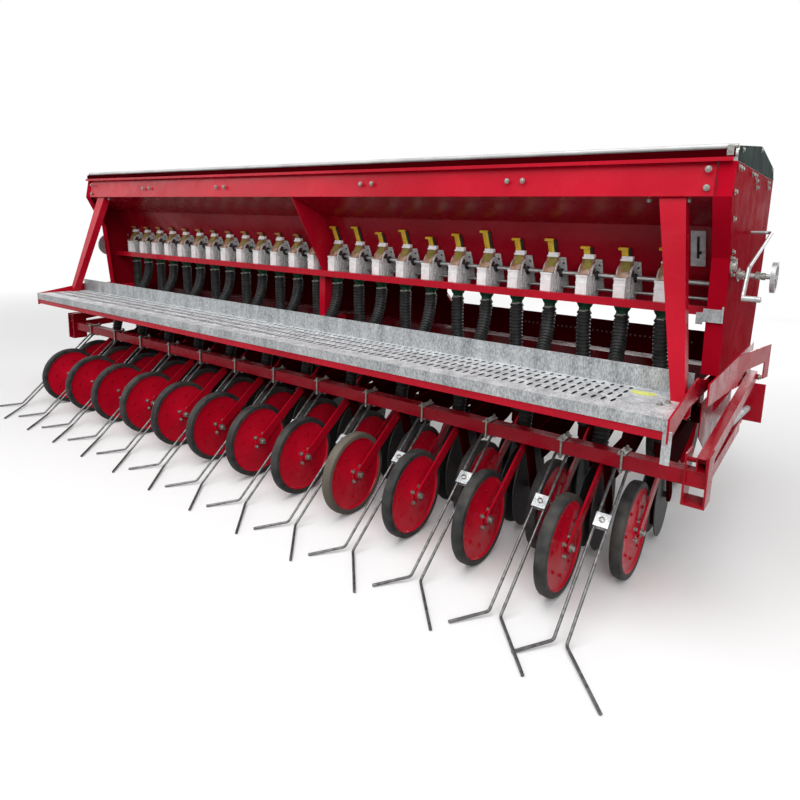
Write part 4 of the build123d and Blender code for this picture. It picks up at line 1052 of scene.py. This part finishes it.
# Ends: the plates' lower webs, the bracket on the right plate's flange, the scale plate, bearings,
# the harrow struts' sleeves, the left end's drive dial and the crank's handle
ends = {
    "webX": 1.940, "webThickness": 0.004,
    "web": [(-0.150, 0.610), (0.500, 0.610), (0.500, 0.470), (0.250, 0.400), (-0.020, 0.400), (-0.150, 0.480)],
    "bracket": [((1.896, -0.1800, 0.884), (1.918, -0.1760, 0.924), thinEdge),
                ((1.916, -0.1770, 0.893), (1.979, -0.1680, 0.938), thinEdge),
                ((1.975, -0.1920, 0.897), (1.979, -0.1680, 0.950), thinEdge)],
    "scaleAt": (1.851, 1.070), "scaleProud": 0.0010,
    "scalePlate": ((-0.025, -0.0030, 0), (0.025, 0, 0.140), thinEdge),
    "scaleMarks": [((-0.0045, -0.0036, 0.032), (0.0045, -0.0030, 0.118)),
                   ((-0.0020, -0.0050, 0.050), (0.0110, -0.0036, 0.062), 0.0004)],
    "bearingAt": (1.9810, -0.153, 1.085),
    "bearing": [(0.0, 0.0270), (0.0040, 0.0270), (0.0060, 0.0250), (0.0060, 0.0190), (0.0150, 0.0180),
                (0.0160, 0.0150), (0.0160, 0.0065), (0.0, 0.0065), (0.0, 0.0270)],
    "bearingBolts": [(-0.173, 1.111), (-0.137, 1.055), (-0.123, 1.105)], "bearingBoltSize": (0.0060, 0.012),
    "faceX": 1.9812, "wheelAxis": (-0.003, 1.048),
    "flange": [(0.0, 0.0240), (0.0050, 0.0240), (0.0050, 0.0160), (0.0200, 0.0150), (0.0200, 0.0085),
               (0.0, 0.0085), (0.0, 0.0240)],
    "collars": [(2.036, 2.052, 0.0150, 6, 0.0015), (2.054, 2.068, 0.0125, 16, 0.0010)],
    "strutX": 2.008, "strut": ((0.070, 0.4904), (0.520, 0.4441), 0.0132, 18, 0.0010),
    "dialAt": (-1.9812, -0.1500, 0.9800),
    "dial": [(0.0, 0.0700), (-0.0025, 0.0720), (-0.0065, 0.0720), (-0.0090, 0.0700), (-0.0090, 0.0240),
             (-0.0160, 0.0220), (-0.0160, 0.0080), (0.0, 0.0080), (0.0, 0.0700)],
    "handle": ((2.047, -0.345, 1.000), (2.0985, -0.345, 1.000), 0.0088, 16, 0.0010),
    "cornerPlate": ((1.934, -0.6590, 0.538), (1.960, -0.6555, 0.638), thinEdge),
    "seams": [((-1.9337, -0.2904, 1.3045), (-1.9313, -0.2898, 1.4125)),
              ((1.9313, -0.2904, 1.3045), (1.9337, -0.2898, 1.4125))],
}


def makeScalePlate():
    facts = ends
    x, z = facts["scaleAt"]
    lean = Matrix.Rotation(math.radians(strips["lean"]), 4, "X")
    stand = Matrix.Translation((x, slopeY(z) - facts["scaleProud"], z)) @ lean
    plate, marks = block("scalePlate", *facts["scalePlate"]), blocks("scaleSlot", facts["scaleMarks"])
    for piece in (plate, marks):
        piece.data.transform(stand)
    settle(plate, scaleGrey)
    settle(marks, slotBlack)


def makeBearings():
    facts, axis = ends, ends["wheelAxis"]
    pieces = [turnedRing("bearing", facts["bearing"], facts["bearingAt"], 24)]
    for side in (-1, 1):
        flange = [(side * across, radius) for across, radius in facts["flange"]]
        pieces.append(turnedRing("flange", flange, (side * facts["faceX"], *axis), 20))
        for near, far, *shape in facts["collars"]:
            pieces.append(rod("collar", (side * near, *axis), (side * far, *axis), *shape))
    places = [facing((facts["faceX"], y, z), (1, 0, 0)) for y, z in facts["bearingBolts"]]
    pieces.append(copies(makeBolt(*facts["bearingBoltSize"]), "bearingBolts", places))
    settle(joinPieces("endBearings", pieces), boltZinc)


def makeEnds():
    facts = ends
    webs = mirroredPlates("endWebs", facts["web"], facts["webX"], facts["webThickness"], thinEdge)
    settle(webs, redHarrowShade)
    settle(blocks("flangeBracket", facts["bracket"]), zinc)
    makeScalePlate()
    makeBearings()
    near, far, *shape = facts["strut"]
    sleeves = [rod("sleeve", (x, *near), (x, *far), *shape) for x in (-facts["strutX"], facts["strutX"])]
    settle(joinPieces("strutSleeves", sleeves), zinc, "harrow")
    settle(turnedRing("driveDial", facts["dial"], facts["dialAt"], 32), zinc)
    settle(rod("crankHandle", *facts["handle"]), brightSteel)
    settle(block("cornerPlate", *facts["cornerPlate"]), zinc)
    settle(blocks("bandSeams", facts["seams"]), slotBlack)


makeEnds()
print("ends made")

# Lid edge: the bright roll along the rear, the shaded gap under it and the band's folded top
lidEdge = {"roll": ((-1.955, -0.264, 1.4565), (1.955, -0.264, 1.4565), 0.0095, 16, 0.001),
           "shade": ((-1.974, -0.2768, 1.4250), (1.974, -0.2745, 1.4480), 0.0004),
           "cap": ((-1.9720, -0.2901, 1.4110), (1.9720, -0.2780, 1.4235))}


def makeLidEdge():
    facts = lidEdge
    settle(rod("lidRoll", *facts["roll"]), lidSheet, "lid")
    # A dark strip under the roll: painted shadow
    settle(block("lidShade", *facts["shade"]), redDeepShade, "lid")
    settle(block("bandCap", *facts["cap"]), redGloss)


makeLidEdge()

# Land wheels: tread lugs round each tyre, and nuts on the outer side of each rim
landWheel = {"x": 1.700, "y": 0.680, "z": 0.300, "radius": 0.2985, "lugs": 30,
             "lug": ((-0.0050, -0.04836, -0.0040), (0.0050, 0.04836, 0.0013), 0.0012),
             "nutSize": (0.0085, 0.014), "nuts": 5, "nutRadius": 0.060, "rimFace": 0.0025}


def wheelAngles(count, start=0.0):
    return [math.radians(start + 360.0 * step / count) for step in range(count)]


def makeLandWheels():
    facts = landWheel
    along = Vector((1, 0, 0))
    for side, name in ((-1, "Left"), (1, "Right")):
        body = f"land_wheel_{name.lower()}"
        centre = Vector((side * facts["x"], facts["y"], facts["z"]))
        places = []
        for angle in wheelAngles(facts["lugs"]):
            out = Vector((0, math.cos(angle), math.sin(angle)))
            turn = Matrix((along.cross(out), along, out)).transposed().to_4x4()
            places.append(Matrix.Translation(centre + facts["radius"] * out) @ turn)
        lug = block("lug", *facts["lug"])
        settle(copies(lug, "tyreLugs" + name, places), tyreRubber, body)
        nuts = []
        for angle in wheelAngles(facts["nuts"], 90.0):
            out = Vector((side * facts["rimFace"], facts["nutRadius"] * math.cos(angle),
                          facts["nutRadius"] * math.sin(angle)))
            nuts.append(facing(centre + out, (side, 0, 0)))
        settleBolts("wheelNuts" + name, facts["nutSize"], nuts, body)


makeLandWheels()
print("land wheels made")

# Studio: pale floor, soft lamps, white backdrop for the camera and reflections only
studio = {"floorSize": 60.0, "floorZ": -0.001, "fadeStart": 3.5, "fadeEnd": 8.0, "floorTone": 0.80, "underTone": 0.22,
          "floorRough": 0.9, "worldStrength": 0.42}


def seenDirectly(tree):
    path = addNode(tree, "LightPath").outputs
    rays = {0: path["Is Camera Ray"], 1: path["Is Glossy Ray"]}
    return addNode(tree, "Math", None, rays, operation="MAXIMUM").outputs["Value"]


def makeFloor():
    facts = studio
    clearSelection()
    bpy.ops.mesh.primitive_plane_add(size=facts["floorSize"], location=(0, 0, facts["floorZ"]))
    floor = bpy.context.object
    floor.name = "floor"
    material, tree, shader, coords = startMaterial("paleFloor")
    seen = seenDirectly(tree)
    tone = addRamp(tree, seen, [(0.0, grey(facts["underTone"])), (1.0, grey(facts["floorTone"]))])
    setNode(tree, shader, {"Roughness": facts["floorRough"]}, {"Base Color": tone})
    length = addNode(tree, "VectorMath", None, {0: coords}, operation="LENGTH").outputs["Value"]
    fade = addRange(tree, length, 0.0, 1.0, facts["fadeStart"], facts["fadeEnd"])
    share = addNode(tree, "Math", None, {0: fade, 1: seen}, operation="MULTIPLY").outputs["Value"]
    glow = addNode(tree, "Emission", {"Strength": 1.0})
    blend = addNode(tree, "MixShader", None, {
        "Fac": share, 1: shader.outputs["BSDF"], 2: glow.outputs["Emission"]})
    tree.links.new(blend.outputs["Shader"], tree.nodes["Material Output"].inputs["Surface"])
    floor.data.materials.append(material)


def makeWorld():
    world = bpy.data.worlds.new("studioWorld")
    bpy.context.scene.world = world
    world.use_nodes = True
    tree = world.node_tree
    strength = addRange(tree, seenDirectly(tree), studio["worldStrength"], 1.0)
    setNode(tree, tree.nodes["Background"], {"Color": (1.0, 1.0, 1.0, 1.0)}, {"Strength": strength})


lamps = {
    "key": {"place": (4.5, -5.0, 4.2), "size": 4.0, "power": 250.0},
    "side": {"place": (-5.5, -4.0, 3.5), "size": 4.0, "power": 90.0},
    "front": {"place": (1.0, 6.5, 3.5), "size": 5.0, "power": 210.0},
    "top": {"place": (0.5, -2.2, 5.0), "size": 4.0, "power": 190.0},
}
lampsAim = Vector((0, 0, 0.6))


def makeLamp(name, facts):
    lamp = bpy.data.lights.new(name, "AREA")
    lamp.size = facts["size"]
    lamp.energy = facts["power"]
    lampObject = bpy.data.objects.new(name, lamp)
    bpy.context.scene.collection.objects.link(lampObject)
    place = Vector(facts["place"])
    lampObject.location = place
    lampObject.rotation_euler = (lampsAim - place).to_track_quat("-Z", "Y").to_euler()


# The photograph's place and angle, in metres and degrees
view = {
    "place": (2.3214, -2.4422, 1.2029), "yaw": 36.50, "pitch": 10.09, "roll": 1.58,
    "lens": 27.632, "sensor": 36.0, "shiftX": -0.0006, "shiftY": -0.0875, "near": 0.05, "far": 100.0,
}


def makeCamera():
    camera = bpy.data.cameras.new("photoCamera")
    camera.lens = view["lens"]
    camera.sensor_width = view["sensor"]
    camera.shift_x = view["shiftX"]
    camera.shift_y = view["shiftY"]
    camera.clip_start = view["near"]
    camera.clip_end = view["far"]
    cameraObject = bpy.data.objects.new("photoCamera", camera)
    bpy.context.scene.collection.objects.link(cameraObject)
    turn = Matrix.Rotation(math.radians(view["yaw"]), 4, "Z")
    turn = turn @ Matrix.Rotation(math.radians(90.0 - view["pitch"]), 4, "X")
    turn = turn @ Matrix.Rotation(math.radians(view["roll"]), 4, "Z")
    cameraObject.matrix_world = Matrix.Translation(view["place"]) @ turn
    bpy.context.scene.camera = cameraObject


makeFloor()
makeWorld()
for lampName, facts in lamps.items():
    makeLamp(lampName, facts)
makeCamera()
bpy.context.scene.view_settings.view_transform = "Standard"
print("studio ready")
